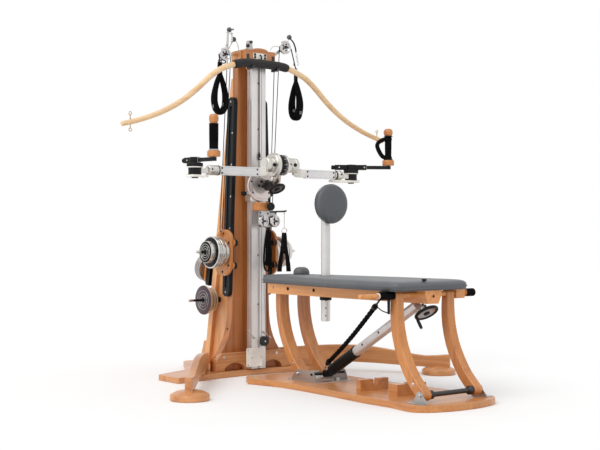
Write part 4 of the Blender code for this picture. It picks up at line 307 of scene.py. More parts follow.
RING_GREY = metal("ringed_disc", srgb(84, 68, 74), 0.3, "Y", 0.7)
DARK_STEEL = metal("dark_steel", srgb(74, 71, 72), 0.34, "Z")
DARK_CHROME = metal("dark_chrome", srgb(40, 40, 42), 0.2, "Y")
TURNED = metal("turned_silver", srgb(220, 217, 212), 0.24, "Y", 0.9)
BLACK = plastic("black_plastic", JET)
BLACK_TRACK = plastic("black_track", srgb(18, 18, 20), 0.4, 500.0, 0.0001)
BLUE_GREY = plastic("track_insert", srgb(66, 72, 84), 0.34)
WHITE_PLATE = plastic("pale_plate", srgb(226, 222, 214), 0.4)
FOAM = foam("black_foam", srgb(12, 11, 12))
WEB = webbing("black_webbing", srgb(13, 12, 13))
ROPE = webbing("black_rope", srgb(36, 35, 36), 260.0)
VINYL = vinyl("grey_upholstery", srgb(86, 88, 91))
VINYL_DARK = vinyl("grey_piping", srgb(70, 72, 76))


# Building pieces

def piece(name, bm, mat, body, slot, smooth=34.0, bevel=0.0, segments=2):
    """Turn bm into a named piece with material mat that rides on a body. slot is not used."""
    bmesh.ops.recalc_face_normals(bm, faces=bm.faces)
    mesh = bpy.data.meshes.new(name)
    bm.to_mesh(mesh)
    bm.free()
    mesh.materials.append(mat)
    made = bpy.data.objects.new(name, mesh)
    bpy.context.scene.collection.objects.link(made)
    mesh.shade_smooth()
    mesh.set_sharp_from_angle(angle=math.radians(smooth))
    if bevel:
        step = made.modifiers.new("edges", "BEVEL")
        step.width = bevel
        step.segments = segments
        step.limit_method = "ANGLE"
        step.angle_limit = math.radians(40)
        step.harden_normals = True
    if body:
        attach(made, body)
    return made


def around(count):
    """Angles evenly spaced round a circle."""
    return [2 * math.pi * i / count for i in range(count)]


def skin(bm, rings, closed=False):
    """Faces between equal rings of vertices, and over both ends of an open row."""
    for low, high in zip(rings, rings[1:] + rings[:1] if closed else rings[1:]):
        for i in range(len(low)):
            j = (i + 1) % len(low)
            bm.faces.new((low[i], low[j], high[j], high[i]))
    if not closed:
        bm.faces.new(rings[0])
        bm.faces.new(rings[-1])


def slab(bm, lower, upper):
    """Closed slab between two equal outlines of points."""
    lower, upper = [[bm.verts.new(point) for point in outline] for outline in (lower, upper)]
    bm.faces.new(lower)
    bm.faces.new(upper)
    for i in range(len(lower)):
        j = (i + 1) % len(lower)
        bm.faces.new((lower[i], lower[j], upper[j], upper[i]))


def mm(*pairs):
    """A profile in metres from pairs of millimetres."""
    return [(radius / 1000, height / 1000) for radius, height in pairs]


def turn_to(axis, centre):
    turn = Z.rotation_difference(Vector(axis).normalized())
    return Matrix.Translation(Vector(centre)) @ turn.to_matrix().to_4x4()


def lathe(bm, profile, axis, centre, sides=48, closed=False):
    """Turned shape: profile is (radius, height) along axis. A closed profile leaves a bore."""
    place = turn_to(axis, centre)
    rings = []
    for radius, height in profile:
        if radius < 1e-06:
            rings.append([bm.verts.new(place @ Vector((0, 0, height)))])
            continue
        points = [Vector((radius * math.cos(a), radius * math.sin(a), height)) for a in around(sides)]
        rings.append([bm.verts.new(place @ point) for point in points])
    pairs = list(zip(rings, rings[1:]))
    if closed:
        pairs.append((rings[-1], rings[0]))
    for low, high in pairs:
        for i in range(sides):
            j = (i + 1) % sides
            if len(low) == 1 and len(high) > 1:
                bm.faces.new((low[0], high[j], high[i]))
            elif len(high) == 1 and len(low) > 1:
                bm.faces.new((low[i], low[j], high[0]))
            elif len(low) > 1:
                bm.faces.new((low[i], low[j], high[j], high[i]))
    if not closed:
        for ring in (rings[0], rings[-1]):
            if len(ring) > 1:
                bm.faces.new(ring)


def prism(bm, outline, plane, lo, hi, place=None):
    """Flat board: an outline in the XY, XZ or YZ plane, from lo to hi on the third axis."""
    order = {"XY": (0, 1, 2), "XZ": (0, 2, 1), "YZ": (2, 0, 1)}[plane]
    levels = []
    for level in (lo, hi):
        points = [Vector([(a, b, level)[i] for i in order]) for a, b in outline]
        levels.append([place @ point if place else point for point in points])
    slab(bm, *levels)


def block(bm, low, high):
    prism(bm, [(low[0], low[1]), (high[0], low[1]), (high[0], high[1]), (low[0], high[1])], "XY", low[2],
        high[2])


def rounded(x0, x1, y0, y1, radius, steps=6):
    points = []
    for cx, cy, start in ((x1 - radius, y1 - radius, 0), (x0 + radius, y1 - radius, 90),
            (x0 + radius, y0 + radius, 180), (x1 - radius, y0 + radius, 270)):
        for i in range(steps + 1):
            a = math.radians(start + 90.0 * i / steps)
            points.append((cx + radius * math.cos(a), cy + radius * math.sin(a)))
    return points


def curve_through(points, steps=6, closed=False):
    """Points on a smooth curve through the given points."""
    pts = [Vector(p) for p in points]
    if closed:
        pts = [pts[-1]] + pts + pts[:2]
    else:
        pts = [2 * pts[0] - pts[1]] + pts + [2 * pts[-1] - pts[-2]]
    route = []
    for p0, p1, p2, p3 in zip(pts, pts[1:], pts[2:], pts[3:]):
        for i in range(steps):
            t = i / steps
            route.append((2 * p1 + (p2 - p0) * t + (2 * p0 - 5 * p1 + 4 * p2 - p3) * t * t
                + (3 * p1 - p0 - 3 * p2 + p3) * t * t * t) / 2)
    if not closed:
        route.append(pts[-2])
    return route


def tube(bm, route, radius, sides=10, closed=False, flat=1.0, across=None):
    """Round or oval section along a route. radius is a number or a list, across is the wide direction."""
    count = len(route)
    radii = radius if isinstance(radius, (list, tuple)) else [radius] * count
    rings = []
    side = None
    for i, point in enumerate(route):
        before = route[(i - 1) % count] if closed or i else route[i]
        after = route[(i + 1) % count] if closed or i < count - 1 else route[i]
        ahead = (Vector(after) - Vector(before)).normalized()
        if across is not None:
            side = Vector(across)
        elif side is None:
            side = ahead.orthogonal()
        side = (side - ahead * side.dot(ahead)).normalized()
        other = ahead.cross(side)
        r = radii[i]
        rings.append([bm.verts.new(Vector(point) + side * (r * math.cos(a)) + other * (r * flat * math.sin(a)))
            for a in around(sides)])
    skin(bm, rings, closed)


def rod(bm, start, end, radius, sides=16):
    tube(bm, [Vector(start), Vector(end)], radius, sides)


def ball(bm, centre, radius):
    profile = [(radius * math.sin(math.pi * i / 12), -radius * math.cos(math.pi * i / 12)) for i in range(13)]
    profile[0] = (0, -radius)
    profile[-1] = (0, radius)
    lathe(bm, profile, Z, centre, 20)


def turned(name, profile, axis, centre, sides, mat, body, slot, closed=False, **finish):
    """A piece turned from one profile."""
    made = bmesh.new()
    lathe(made, profile, axis, centre, sides, closed)
    return piece(name, made, mat, body, slot, **finish)


def cut(name, outline, plane, lo, hi, mat, body, slot, place=None, **finish):
    """A piece cut from one flat outline."""
    made = bmesh.new()
    prism(made, outline, plane, lo, hi, place)
    return piece(name, made, mat, body, slot, **finish)


def cap_screw(bm, centre, axis, radius=0.006, height=0.005):
    """A round screw head with a socket in it, seated on its washer."""
    r, h = radius, height
    lathe(bm, [(r * 1.45, -0.0006), (r * 1.45, 0.0012), (r, 0.0012), (r, h * 0.8), (r * 0.85, h), (r * 0.5, h),
        (r * 0.42, h * 0.45), (0, h * 0.45)], axis, centre, 16)


def screws(name, spots, body, mat=DARK_STEEL, radius=0.006, height=0.005):
    bm = bmesh.new()
    for centre, axis in spots:
        cap_screw(bm, centre, axis, radius, height)
    piece(name, bm, mat, body, "steel")


def dress(names, mat):
    """Give CAD nodes a material."""
    for name in names.split():
        mesh = NODES[name].data
        mesh.materials.clear()
        mesh.materials.append(mat)


def stands_for(made, *names):
    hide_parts(*names)
    return made


# Tower: wood, rail, tracks and small fittings

dress("tower_base_plate front_cross_board", WOOD_Y)
# The column takes the darker amber wood, which is partly painted shade.
dress("tower_column", WOOD_FRONT_SHADED)
dress("left_arched_leg", WOOD_LEG[-1])
dress("right_arched_leg", WOOD_LEG[1])
dress("guide_rail", RAIL_SILVER)
dress("left_track right_track", BLACK_TRACK)
dress("left_weight_carriage right_weight_carriage", PALE_Z)
dress("rear_leg_bracket left_front_bracket right_front_bracket", STEEL)
dress("bench_base_plate", BASE_WOOD)
dress("strut_lower", BLACK)
dress("left_arm right_arm strut_upper", ARM_SILVER)


def hangers():
    """Steel hangers whose flange on the head is wood."""
    paint = Paint("hanger_steel_and_wood", 0.34)
    tone, height = wood_tone(paint, HONEY, HONEY_DARK, "Y")
    flange = paint.math("LESS_THAN", paint.math("ABSOLUTE", paint.axis("Y"), 0.0), 0.172)
    paint.colour(paint.mix(flange, srgb(190, 188, 186), tone))
    paint.metallic(paint.math("SUBTRACT", 1.0, flange))
    paint.bump(height, 0.0004, 0.3)
    dress("left_pulley_hanger right_pulley_hanger", paint.mat)


def rear_frame():
    """Honey wood, lighter than the other honey wood as painted light on the spine, with the black rail behind
    the spine.
    """
    paint = Paint("spine_wood_painted_light_and_rail", 0.36, coat=0.25)
    # A lighter copy of the honey wood: painted light on the spine.
    tone, height = wood_tone(paint, srgb(234, 174, 116), srgb(204, 138, 82), "Z")
    line = paint.math("ADD", paint.axis("X"), paint.math("MULTIPLY", paint.axis("Z"), -SPINE_SLOPE))
    behind = paint.math("LESS_THAN", line, SPINE_TOP_X - SPINE_SLOPE * SPINE_TOP_Z - 0.0006)
    narrow = paint.math("LESS_THAN", paint.math("ABSOLUTE", paint.axis("Y"), 0.0), 0.0245)
    above = paint.math("GREATER_THAN", paint.axis("Z"), 0.1895)
    rail = paint.math("MULTIPLY", paint.math("MULTIPLY", behind, narrow), above)
    paint.colour(paint.mix(rail, tone, JET))
    paint.bump(height, 0.0005, 0.3)
    dress("rear_frame", paint.mat)


hangers()
rear_frame()


def foot(side, name):
    """Round wooden foot with a soft crown and a groove round its rim."""
    bm = bmesh.new()
    centre = 0.872, side * 0.962, 0
    lathe(bm, mm((0, 0), (106, 0), (110, 4), (110, 29), (107, 34), (92, 41.5), (77, 48.8), (55, 54),
        (38.5, 56.3), (0, 58)), Z, centre, 64)
    stands_for(piece(name + "_foot_turned", bm, WOOD_Y, "tower", "wood"), name + "_round_foot")


foot(-1, "left")
foot(1, "right")


def head():
    """Head block with its plate and hook, metal bar hooks and the clip on top."""
    paint = Paint("head_wood_and_hooks", 0.36, coat=0.2)
    tone, height = wood_tone(paint, HONEY, HONEY_DARK, "Y")
    outside = paint.math("GREATER_THAN", paint.axis("X"), 0.2131)
    paint.colour(paint.mix(outside, tone, srgb(60, 60, 62)))
    paint.metallic(paint.math("MULTIPLY", outside, 0.8))
    paint.bump(height, 0.0005, 0.3)
    dress("head_block", paint.mat)
    cut("head_plate", rounded(-0.06, 0.046, 2.052, 2.09, 0.008), "YZ", 0.212, 0.2165, WHITE_PLATE, "tower",
        "steel", bevel=0.001)
    bm = bmesh.new()
    tube(bm, curve_through([(0.216, -0.007, 2.078), (0.226, -0.007, 2.074), (0.233, -0.007, 2.062),
        (0.229, -0.007, 2.05), (0.219, -0.007, 2.05)], 4), 0.0042, 10)
    piece("head_hook", bm, BLACK, "tower", "black")
    screws("head_plate_screws", [((0.2165, y, z), X) for y, z in ((-0.047, 2.063), (0.033, 2.061),
        (-0.047, 2.08), (0.033, 2.08))], "tower")
    cut("head_top_clip", [(-0.07, 2.123), (-0.052, 2.13), (-0.05, 2.172), (-0.044, 2.182), (-0.02, 2.182),
        (-0.014, 2.165), (-0.01, 2.134), (0.012, 2.127), (0.014, 2.118), (-0.072, 2.115)], "YZ", 0.118, 0.142,
        STEEL, "tower", "steel", bevel=0.002)
    bm = bmesh.new()
    ball(bm, (0.145, -0.053, 2.146), 0.013)
    ball(bm, (0.145, -0.026, 2.172), 0.01)
    rod(bm, (0.13, -0.026, 2.172), (0.15, -0.026, 2.172), 0.004)
    piece("head_top_balls", bm, DARK_STEEL, "tower", "steel")


head()


WHEEL_WIDTH, WHEEL_BORE = 0.014, 0.0062
WHEEL_X = 0.15


def top_wheel(name, body, centre, radius):
    """Grooved rope wheel with a recessed web and five rings in it."""
    w, r, core = WHEEL_WIDTH / 2, radius, WHEEL_BORE
    made = turned(name + "_turned", [(core, -w), (core + 0.006, -w), (core + 0.006, -w * 0.55),
        (r * 0.68, -w * 0.55), (r * 0.74, -w), (r, -w), (r - 0.001, -w * 0.8), (r - 0.0065, -w * 0.18),
        (r - 0.0065, w * 0.18), (r - 0.001, w * 0.8), (r, w), (r * 0.74, w), (r * 0.68, w * 0.55),
        (core + 0.006, w * 0.55), (core + 0.006, w), (core, w)], X, centre, 56, CHROME, body, "chrome",
        closed=True)
    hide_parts(name)
    bm = bmesh.new()
    for a in around(5):
        spot = Vector(centre) + Vector((w * 0.55, r * 0.46 * math.cos(a), r * 0.46 * math.sin(a)))
        lathe(bm, [(r * 0.135, 0), (r * 0.135, 0.0012), (r * 0.1, 0.0012), (r * 0.1, 0.0004), (0, 0.0004)], X,
            spot, 16)
    piece(name + "_rings", bm, DARK_STEEL, body, "chrome")


LEFT_WHEEL = WHEEL_X, -0.237, 2.071
RIGHT_WHEEL = WHEEL_X, 0.247, 2.163
LEFT_RADIUS, RIGHT_RADIUS = 0.042, 0.045
top_wheel("left_top_pulley", "left_top_wheel", LEFT_WHEEL, LEFT_RADIUS)
top_wheel("right_top_pulley", "right_top_wheel", RIGHT_WHEEL, RIGHT_RADIUS)
top_wheel("left_small_pulley", "left_small_wheel", (0.279, -0.023, 1.0), 0.036)
top_wheel("right_small_pulley", "right_small_wheel", (0.279, 0.069, 1.0), 0.036)


def top_fittings():
    """Balls, levers, wires and clips round the two top wheels."""
    screws("top_wheel_bolts", [((0.165, *wheel[1:]), X) for wheel in (LEFT_WHEEL, RIGHT_WHEEL)], "tower",
        radius=0.0075, height=0.006)
    ball_x = 0.1378
    bm = bmesh.new()
    for y, z, r in ((-0.195, 2.234, 0.0168), (-0.16, 2.176, 0.0165), (0.292, 2.237, 0.0168)):
        ball(bm, (ball_x, y, z), r)
    ball(bm, (ball_x, -0.166, 2.24), 0.006)
    rod(bm, (ball_x, -0.183, 2.237), (ball_x, -0.166, 2.24), 0.003)
    piece("rope_stop_balls", bm, plastic("dark_grey_plastic", srgb(72, 70, 70), 0.35), "tower", "steel")
    bm = bmesh.new()
    for outline in ([(-0.222, 2.218), (-0.21, 2.22), (-0.216, 2.13), (-0.228, 2.128)],
            [(-0.19, 2.216), (-0.18, 2.216), (-0.176, 2.155), (-0.186, 2.153)]):
        prism(bm, outline, "YZ", 0.15, 0.154)
    for x, y, z in ((0.138, -0.216, 2.214), (0.138, -0.185, 2.21), (0.134, -0.222, 2.132),
            (0.134, -0.181, 2.158)):
        rod(bm, (x, y, z), (0.154, y, z), 0.004)
    piece("left_levers", bm, CHROME, "tower", "chrome", bevel=0.001)
    bm = bmesh.new()
    for points in ([(-0.154, 2.171), (-0.14, 2.16), (-0.128, 2.135), (-0.122, 2.104)],
            [(0.122, 2.103), (0.128, 2.13), (0.15, 2.156), (0.175, 2.166), (0.2, 2.163)]):
        tube(bm, curve_through([(0.14, y, z) for y, z in points], 6), 0.0026, 8)
    piece("guide_wires", bm, CHROME, "tower", "chrome")
    bm = bmesh.new()
    ring = [(0.16, -0.262 + 0.024 * math.cos(a), 2.02 + 0.01 * math.sin(a)) for a in around(24)]
    tube(bm, ring, 0.0038, 8, closed=True)
    piece("left_carabiner", bm, DARK_STEEL, "left_stirrup_unit", "steel")
    bm = bmesh.new()
    tube(bm, curve_through([(WHEEL_X, 0.29, 2.226), (WHEEL_X, 0.316, 2.205), (WHEEL_X, 0.334, 2.17),
        (WHEEL_X, 0.34, 2.14)], 6), 0.007, 10, flat=0.4, across=(1, 0, 0))
    piece("right_top_strap", bm, WEB, "tower", "black")
    bm = bmesh.new()
    for i in range(6):
        z = 2.132 - i * 0.014
        y = 0.341 + i * 0.0035
        wide, deep = ((0.006, 0), (0, 0.006))[i % 2]
        ring = [(WHEEL_X + wide * math.cos(a), y + deep * math.cos(a), z + 0.0105 * math.sin(a))
            for a in around(16)]
        tube(bm, ring, 0.0021, 6, closed=True)
    piece("right_top_chain", bm, CHROME, "tower", "chrome")


top_fittings()


TRACK_FOOT_Y, TRACK_FOOT_Z = 0.14846, 0.51
CARRIAGE_UP = 0.28516
CARRIAGE_FACE = 0.0513


def lean(side, x, out, up):
    """A point out from a leaning edge of the column and up along its track."""
    y = TRACK_FOOT_Y + out * math.cos(LEAN) - up * math.sin(LEAN)
    return Vector((x, side * y, TRACK_FOOT_Z + out * math.sin(LEAN) + up * math.cos(LEAN)))


def outward(side):
    return Vector((0, side * math.cos(LEAN), math.sin(LEAN)))


def ringed_face(name, body, slot, axis, centre, radius, base, ring_mat, radii, wide):
    """Flat disc face with raised turned rings."""
    turned(name + "_plate", [(0, 0), (radius, 0), (radius, 0.0014), (radius - 0.0012, 0.0022), (0, 0.0022)],
        axis, centre, 56, base, body, slot)
    bm = bmesh.new()
    for r in radii:
        lathe(bm, [(r - wide, 0.0018), (r - wide * 0.5, 0.0032), (r + wide * 0.5, 0.0032), (r + wide, 0.0018)],
            axis, centre, 56, closed=True)
    piece(name + "_rings", bm, ring_mat, body, slot)


def side_weight(side, name):
    """On the carriage's spindle: ribbed discs, a dark face, the bright drum and its ringed face."""
    body = name + "_side_weight"
    axis = outward(side)
    start = lean(side, 0.06, CARRIAGE_FACE, CARRIAGE_UP)
    bm = bmesh.new()
    profile = mm((0, 0), (30, 0), (30, 4))
    y = 0.004
    for _ in range(2):
        profile += [(0.08, y), (0.0845, y + 0.001), (0.086, y + 0.004), (0.086, y + 0.019),
            (0.0845, y + 0.0215), (0.08, y + 0.0225), (0.073, y + 0.0227), (0.073, y + 0.025)]
        y += 0.025
    for _ in range(3):
        profile += [(0.098, y), (0.1025, y + 0.001), (0.104, y + 0.003), (0.104, y + 0.0115),
            (0.1025, y + 0.0135), (0.098, y + 0.0145), (0.094, y + 0.0146), (0.094, y + 0.0158)]
        y += 0.0158
    y -= 0.0013
    profile[-2:] = [(0, y)]
    lathe(bm, profile, axis, start, 64)
    stands_for(piece(name + "_weight_discs", bm, TURNED, body, "chrome"), name + "_weight_stack")
    turned(name + "_weight_big_face", mm((60, -0.2), (96.5, -0.2), (96.5, 0.8), (95.5, 1.4), (60, 1.4)), axis,
        start + axis * y, 72, DARK_CHROME, body, "chrome", closed=True)
    turned(name + "_weight_drum", mm((0, 0), (69, 0), (71, 2), (71, 34), (69.5, 36.5), (0, 36.5)), axis,
        start + axis * y, 64, TURNED, body, "chrome")
    at = start + axis * (y + 0.0365)
    ringed_face(name + "_weight_face", body, "chrome", axis, at, 0.068, DARK_CHROME, TURNED,
        (0.022, 0.037, 0.052), 0.0016)
    turned(name + "_spindle", mm((0, 0), (13, 0), (13, 10), (10, 13), (7.8, 13), (7.8, 36), (0, 36)), axis, at,
        24, BLACK, body, "chrome")
    turned(name + "_spindle_tip", mm((0, 36), (8.5, 36), (9.5, 45), (9.5, 62), (7.5, 69), (0, 71.4)), axis, at,
        24, CAST_SILVER, body, "chrome")
    bm = bmesh.new()
    for dz in (-0.082, 0.065):
        spot = lean(side, 0.146, 0.0086, CARRIAGE_UP + dz)
        lathe(bm, mm((0, 0), (20, 0), (22.4, 2), (22.4, 21), (20, 23.8), (9, 23.8), (9, 22.6), (0, 22.6)), axis,
            spot, 32)
        lathe(bm, mm((0, 0), (10, 0), (10, -3), (0, -4)), axis, spot, 16)
    piece(name + "_rollers", bm, plastic(name + "_roller_rubber", srgb(24, 23, 23), 0.5), body, "black")
    corners = (0.06, 0.125), (0.06, -0.125), (0.125, 0.065), (0.125, -0.082)
    screws(name + "_paddle_bolts", [(lean(side, x, CARRIAGE_FACE + 0.0001, CARRIAGE_UP + up), axis)
        for x, up in corners], body, radius=0.0055, height=0.004)


side_weight(-1, "left")
side_weight(1, "right")


def track_details(side, name):
    """Insert strip in the track's groove and its countersunk bolts."""
    length = 1.3 / math.cos(LEAN)
    bm = bmesh.new()
    for x in (0.058, 0.077):
        corners = [(x - 0.0016, 0.065), (x + 0.0016, 0.065), (x + 0.0016, length - 0.065),
            (x - 0.0016, length - 0.065)]
        slab(bm, *[[lean(side, a, out, up) for a, up in corners] for out in (0.0178, 0.0196)])
    piece(name + "_track_insert", bm, BLUE_GREY, "tower", "black")
    spots = []
    for i in range(7):
        up = 0.03 + (length - 0.06) * i / 6
        spots.append((lean(side, 0.0675 if i in (0, 6) else 0.095, 0.0282, up), outward(side)))
    screws(name + "_track_bolts", spots, "tower", mat=CHROME, radius=0.0042, height=0.0022)


track_details(-1, "left")
track_details(1, "right")


def storage(side, name):
    """Spare discs on the web's pegs, with a ringed outer face and a tipped spindle."""
    axis = Vector((0, side, 0))
    start = Vector((-0.235, side * 0.0183, 0.474))
    turned(name + "_storage_root", mm((0, 0), (19, 0), (19, 60), (12, 64), (0, 64)), axis, start, 32, BLACK,
        "tower", "chrome")
    bm = bmesh.new()
    profile = mm((0, 63.5), (70, 63.5))
    y = 0.064
    for _ in range(3):
        profile += [(0.079, y), (0.0805, y + 0.0008), (0.081, y + 0.002), (0.081, y + 0.009),
            (0.0805, y + 0.0102), (0.079, y + 0.011), (0.058, y + 0.0112), (0.058, y + 0.0184)]
        y += 0.0184
    profile += [(0.094, y), (0.0975, y + 0.0008), (0.0985, y + 0.0025), (0.0985, y + 0.01),
        (0.0975, y + 0.0118), (0, y + 0.0126)]
    y += 0.0126
    lathe(bm, profile, axis, start, 64)
    stands_for(piece(name + "_storage_discs", bm, metal(name + "_disc_edge", srgb(216, 208, 192), 0.36, "Y",
        0.7), "tower", "chrome"), name + "_storage_weights")
    at = start + axis * (y - 0.0004)
    ringed_face(name + "_storage_face", "tower", "chrome", axis, at, 0.097, RING_GREY, STEEL,
        (0.026, 0.045, 0.064), 0.0016)
    turned(name + "_storage_peg", mm((0, 0), (13, 0), (13, 8), (7.8, 10), (7.8, 82), (0, 82)), axis, at, 24,
        BLACK, "tower", "chrome")
    turned(name + "_storage_tip", mm((0, 82), (8.5, 82), (9.6, 90), (9.6, 108), (7, 115), (0, 116.5)), axis, at,
        24, CAST_SILVER, "tower", "chrome")


storage(-1, "left")
storage(1, "right")


# Tower: rear weight, rear rail, rail details and ropes

def rear_weight():
    """Paddle, carriage block, discs and dome on the rear rail, square to the spine's slope."""
    body = "rear_weight"
    up = Vector((SPINE_SLOPE, 0, 1)).normalized()
    out = Vector((-up.z, 0, up.x))
    height = 0.67
    seat = Vector((SPINE_TOP_X - SPINE_SLOPE * (SPINE_TOP_Z - height) - 0.024, 0, height)) + out * 0.041
    place = Matrix((Vector((0, -1, 0)), up, out)).transposed().to_4x4()
    place.translation = seat
    stands_for(cut("rear_paddle", rounded(-0.06, 0.06, -0.11, 0.11, 0.05, 8), "XY", 0.0, 0.02, PALE_Z, body,
        "wood_light", place=place, bevel=0.002), "rear_weight_stack")
    cut("rear_carriage", rounded(-0.053, 0.053, -0.108, 0.08, 0.006, 4), "XY", -0.038, -0.0002, BLACK, body,
        "black", place=place, bevel=0.0015)
    bm = bmesh.new()
    profile = mm((0, 20.2), (30, 20.2), (30, 24))
    y = 0.024
    for _ in range(3):
        profile += [(0.093, y), (0.0968, y + 0.001), (0.098, y + 0.0035), (0.098, y + 0.0165),
            (0.0968, y + 0.019), (0.093, y + 0.02), (0.088, y + 0.0202), (0.088, y + 0.022)]
        y += 0.022
    profile += [(0.062, y), (0.0672, y + 0.0015), (0.0686, y + 0.005), (0.068, y + 0.012), (0.064, y + 0.018),
        (0.054, y + 0.0215), (0.03, y + 0.022), (0, y + 0.022)]
    lathe(bm, profile, out, seat, 64)
    piece("rear_discs", bm, metal("rear_disc_metal", srgb(168, 163, 160), 0.22, "Y", 0.9), body, "chrome")
    turned("rear_spindle", mm((0, 112), (13, 112), (13, 120), (7.8, 122), (7.8, 148), (6, 150), (0, 150)), out,
        seat, 24, BLACK, body, "chrome")


def rail_details():
    """Dark strip along the rail's slot as painted shade, foot plate and latch levers on the front rail."""
    # Dark strip where the rail's slot is: painted shade in the slot.
    bm = bmesh.new()
    block(bm, (0.191, 0.0222, 0.18), (0.1914, 0.0246, 2.03))
    piece("rail_line", bm, DARK_STEEL, "tower", "aluminium")
    cut("rail_foot_plate", rounded(-0.098, 0.028, 0.06, 0.18, 0.008), "YZ", 0.1918, 0.1956, WHITE_PLATE,
        "tower", "steel", bevel=0.001)
    bm = bmesh.new()
    for points in ([(-0.1, 0.298), (-0.095, 0.302), (-0.033, 0.244), (-0.038, 0.239)],
            [(0.034, 0.278), (0.039, 0.282), (0.099, 0.24), (0.096, 0.235)]):
        prism(bm, points, "YZ", 0.196, 0.2)
    piece("rail_latch_levers", bm, STEEL, "tower", "steel", bevel=0.001)
    bm = bmesh.new()
    for y, z in ((-0.037, 0.243), (0.036, 0.279)):
        rod(bm, (0.191, y, z), (0.204, y, z), 0.006)
    piece("rail_latch_posts", bm, STEEL, "tower", "steel")
    screws("rail_foot_screws", [((0.1956, y, z), X) for y, z in ((-0.087, 0.169), (-0.0547, 0.1164),
        (0.0198, 0.1174), (-0.087, 0.071))], "tower", mat=CAST_SILVER, radius=0.0048, height=0.003)
    screws("cross_board_bolts", [((0.1403, -0.236, 0.126), X), ((0.1403, 0.185, 0.13), X)], "tower",
        radius=0.007, height=0.003, mat=CAST_SILVER)
    screws("rail_groove_bolts", [((0.1794, 0, z), X) for z in (0.46, 0.78, 1.6, 1.9)], "tower", radius=0.0052,
        height=0.003)


def column_fittings():
    """Bolts down the column's edges and a dark disc on the hole in each end of the floor plate, painted shade
    in the hole.
    """
    spots = []
    for side in (-1, 1):
        for z in (0.12, 0.3):
            half = 0.105 + EDGE_SLOPE * (1.8 - z) + 0.118 * ((0.42 - z) / 0.32) ** 2.5
            spots.append(((0.075, side * (half - 0.0002), z), Vector((0, side, 0))))
    screws("column_edge_bolts", spots, "tower", radius=0.006, height=0.003)
    # Dark discs on the floor plate's holes: painted shade in the holes.
    for name, y in (("base_hole", -0.377), ("base_hole_far", 0.377)):
        turned(name, mm((0, 0), (13, 0), (13, 1.2), (0, 1.2)), Z, (0.071, y, 0.0358), 24, DARK_STEEL, "tower",
            "steel")


rear_weight()
rail_details()
column_fittings()


# Ropes, stirrups and straps

def resample(route, step):
    """Evenly spaced points along a route."""
    points = [Vector(p) for p in route]
    lengths = [(b - a).length for a, b in zip(points, points[1:])]
    total = sum(lengths)
    count = max(2, round(total / step))
    made = []
    leg = 0
    walked = 0.0
    for i in range(count + 1):
        want = total * i / count
        while leg < len(lengths) - 1 and walked + lengths[leg] < want:
            walked += lengths[leg]
            leg += 1
        made.append(points[leg].lerp(points[leg + 1], (want - walked) / lengths[leg]))
    return made


def laid_rope(name, route, radius, body, mat, lay=0.016, strands=3, sides=12, groove=0.2):
    """Rope of twisted strands: its section has a lobe for each strand and turns along the rope."""
    points = resample(route, lay / 7)
    bm = bmesh.new()
    rings = []
    side = None
    walked = 0.0
    for i, point in enumerate(points):
        after = points[min(i + 1, len(points) - 1)]
        ahead = (after - points[max(i - 1, 0)]).normalized()
        if side is None:
            side = ahead.orthogonal()
        side = (side - ahead * side.dot(ahead)).normalized()
        other = ahead.cross(side)
        turn = 2 * math.pi * walked / lay
        ring = []
        for a in around(sides):
            r = radius * (1 - groove + groove * abs(math.cos((a - turn) * strands / 2)))
            ring.append(bm.verts.new(point + side * (r * math.cos(a)) + other * (r * math.sin(a))))
        rings.append(ring)
        walked += (after - point).length
    skin(bm, rings)
    return piece(name, bm, mat, body, "black", smooth=60)


def weight_rope(side, name, outer, inner):
    """Rope from the hanger down round the carriage's clevis and up to the top wheel."""
    low = lean(side, 0.05, 0.065, CARRIAGE_UP + 0.132)
    radius = 0.0028
    low.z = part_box(name + "_weight_rope")[0].z + radius
    bend = [low + Vector((0, side * y, z)) for y, z in ((0.008, 0.0128), (0.0048, 0.003), (0, 0),
        (-0.0048, 0.003), (-0.008, 0.0128))]
    made = laid_rope(name + "_weight_line", [outer, *bend, inner], radius, None, ROPE, lay=0.014, sides=9)
    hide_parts(name + "_weight_rope")
    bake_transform(made)
    bm = bmesh.new()
    top = low + Vector((0, 0, 0.03))
    tube(bm, curve_through([low + Vector((0, -0.007, 0.012)), low + Vector((0, 0, 0.004)),
        low + Vector((0, 0.007, 0.012)), top + Vector((0, 0.004, 0)), top + Vector((0, -0.004, 0))], 4, True),
        0.0022, 8, closed=True)
    piece(name + "_thimble", bm, STEEL, name + "_side_weight", "steel")


weight_rope(-1, "left", (0.1293, -0.195, 2.234), (WHEEL_X, -0.1917, 2.071))
weight_rope(1, "right", (0.153, 0.1987, 2.163), (0.145, 0.162, 2.041))


def front_line():
    """Rope down the front of the rail with its buckle and hook above the handle unit."""
    x, clip_x = 0.1972, 0.2035
    made = laid_rope("front_line", [(x, 0, 1.425), (x, 0, 2.039)], 0.0028, "tower", ROPE, lay=0.014, sides=9)
    stands_for(made, "front_rope")
    bm = bmesh.new()
    prism(bm, rounded(-0.007, 0.007, 1.398, 1.44, 0.004), "YZ", 0.194, 0.204)
    rod(bm, (x, 0, 1.436), (x, 0, 1.452), 0.0045)
    piece("front_line_hook", bm, BLACK, "tower", "black", bevel=0.0012)
    turned("front_line_rivet", mm((0, 0), (5, 0), (5, 2), (0, 2)), X, (0.204, 0, 1.41), 14, STEEL, "tower",
        "steel")
    laid_rope("floor_line", [(0.203, 0.0715, 0.224), (0.203, 0.062, 0.4), (clip_x, 0.056, 0.528),
        (clip_x, 0.054, 0.6)], 0.0022, "tower", ROPE, lay=0.012, sides=8)
    bm = bmesh.new()
    for z in (0.6, 0.64):
        lathe(bm, mm((0, 0), (6.5, 0), (6.5, 10), (4, 14), (0, 14)), Z, (clip_x, 0.054, z - 0.002), 16)
    block(bm, (0.192, 0.05, 0.6), (0.206, 0.058, 0.65))
    piece("floor_line_clip", bm, DARK_STEEL, "tower", "steel", bevel=0.001)


front_line()


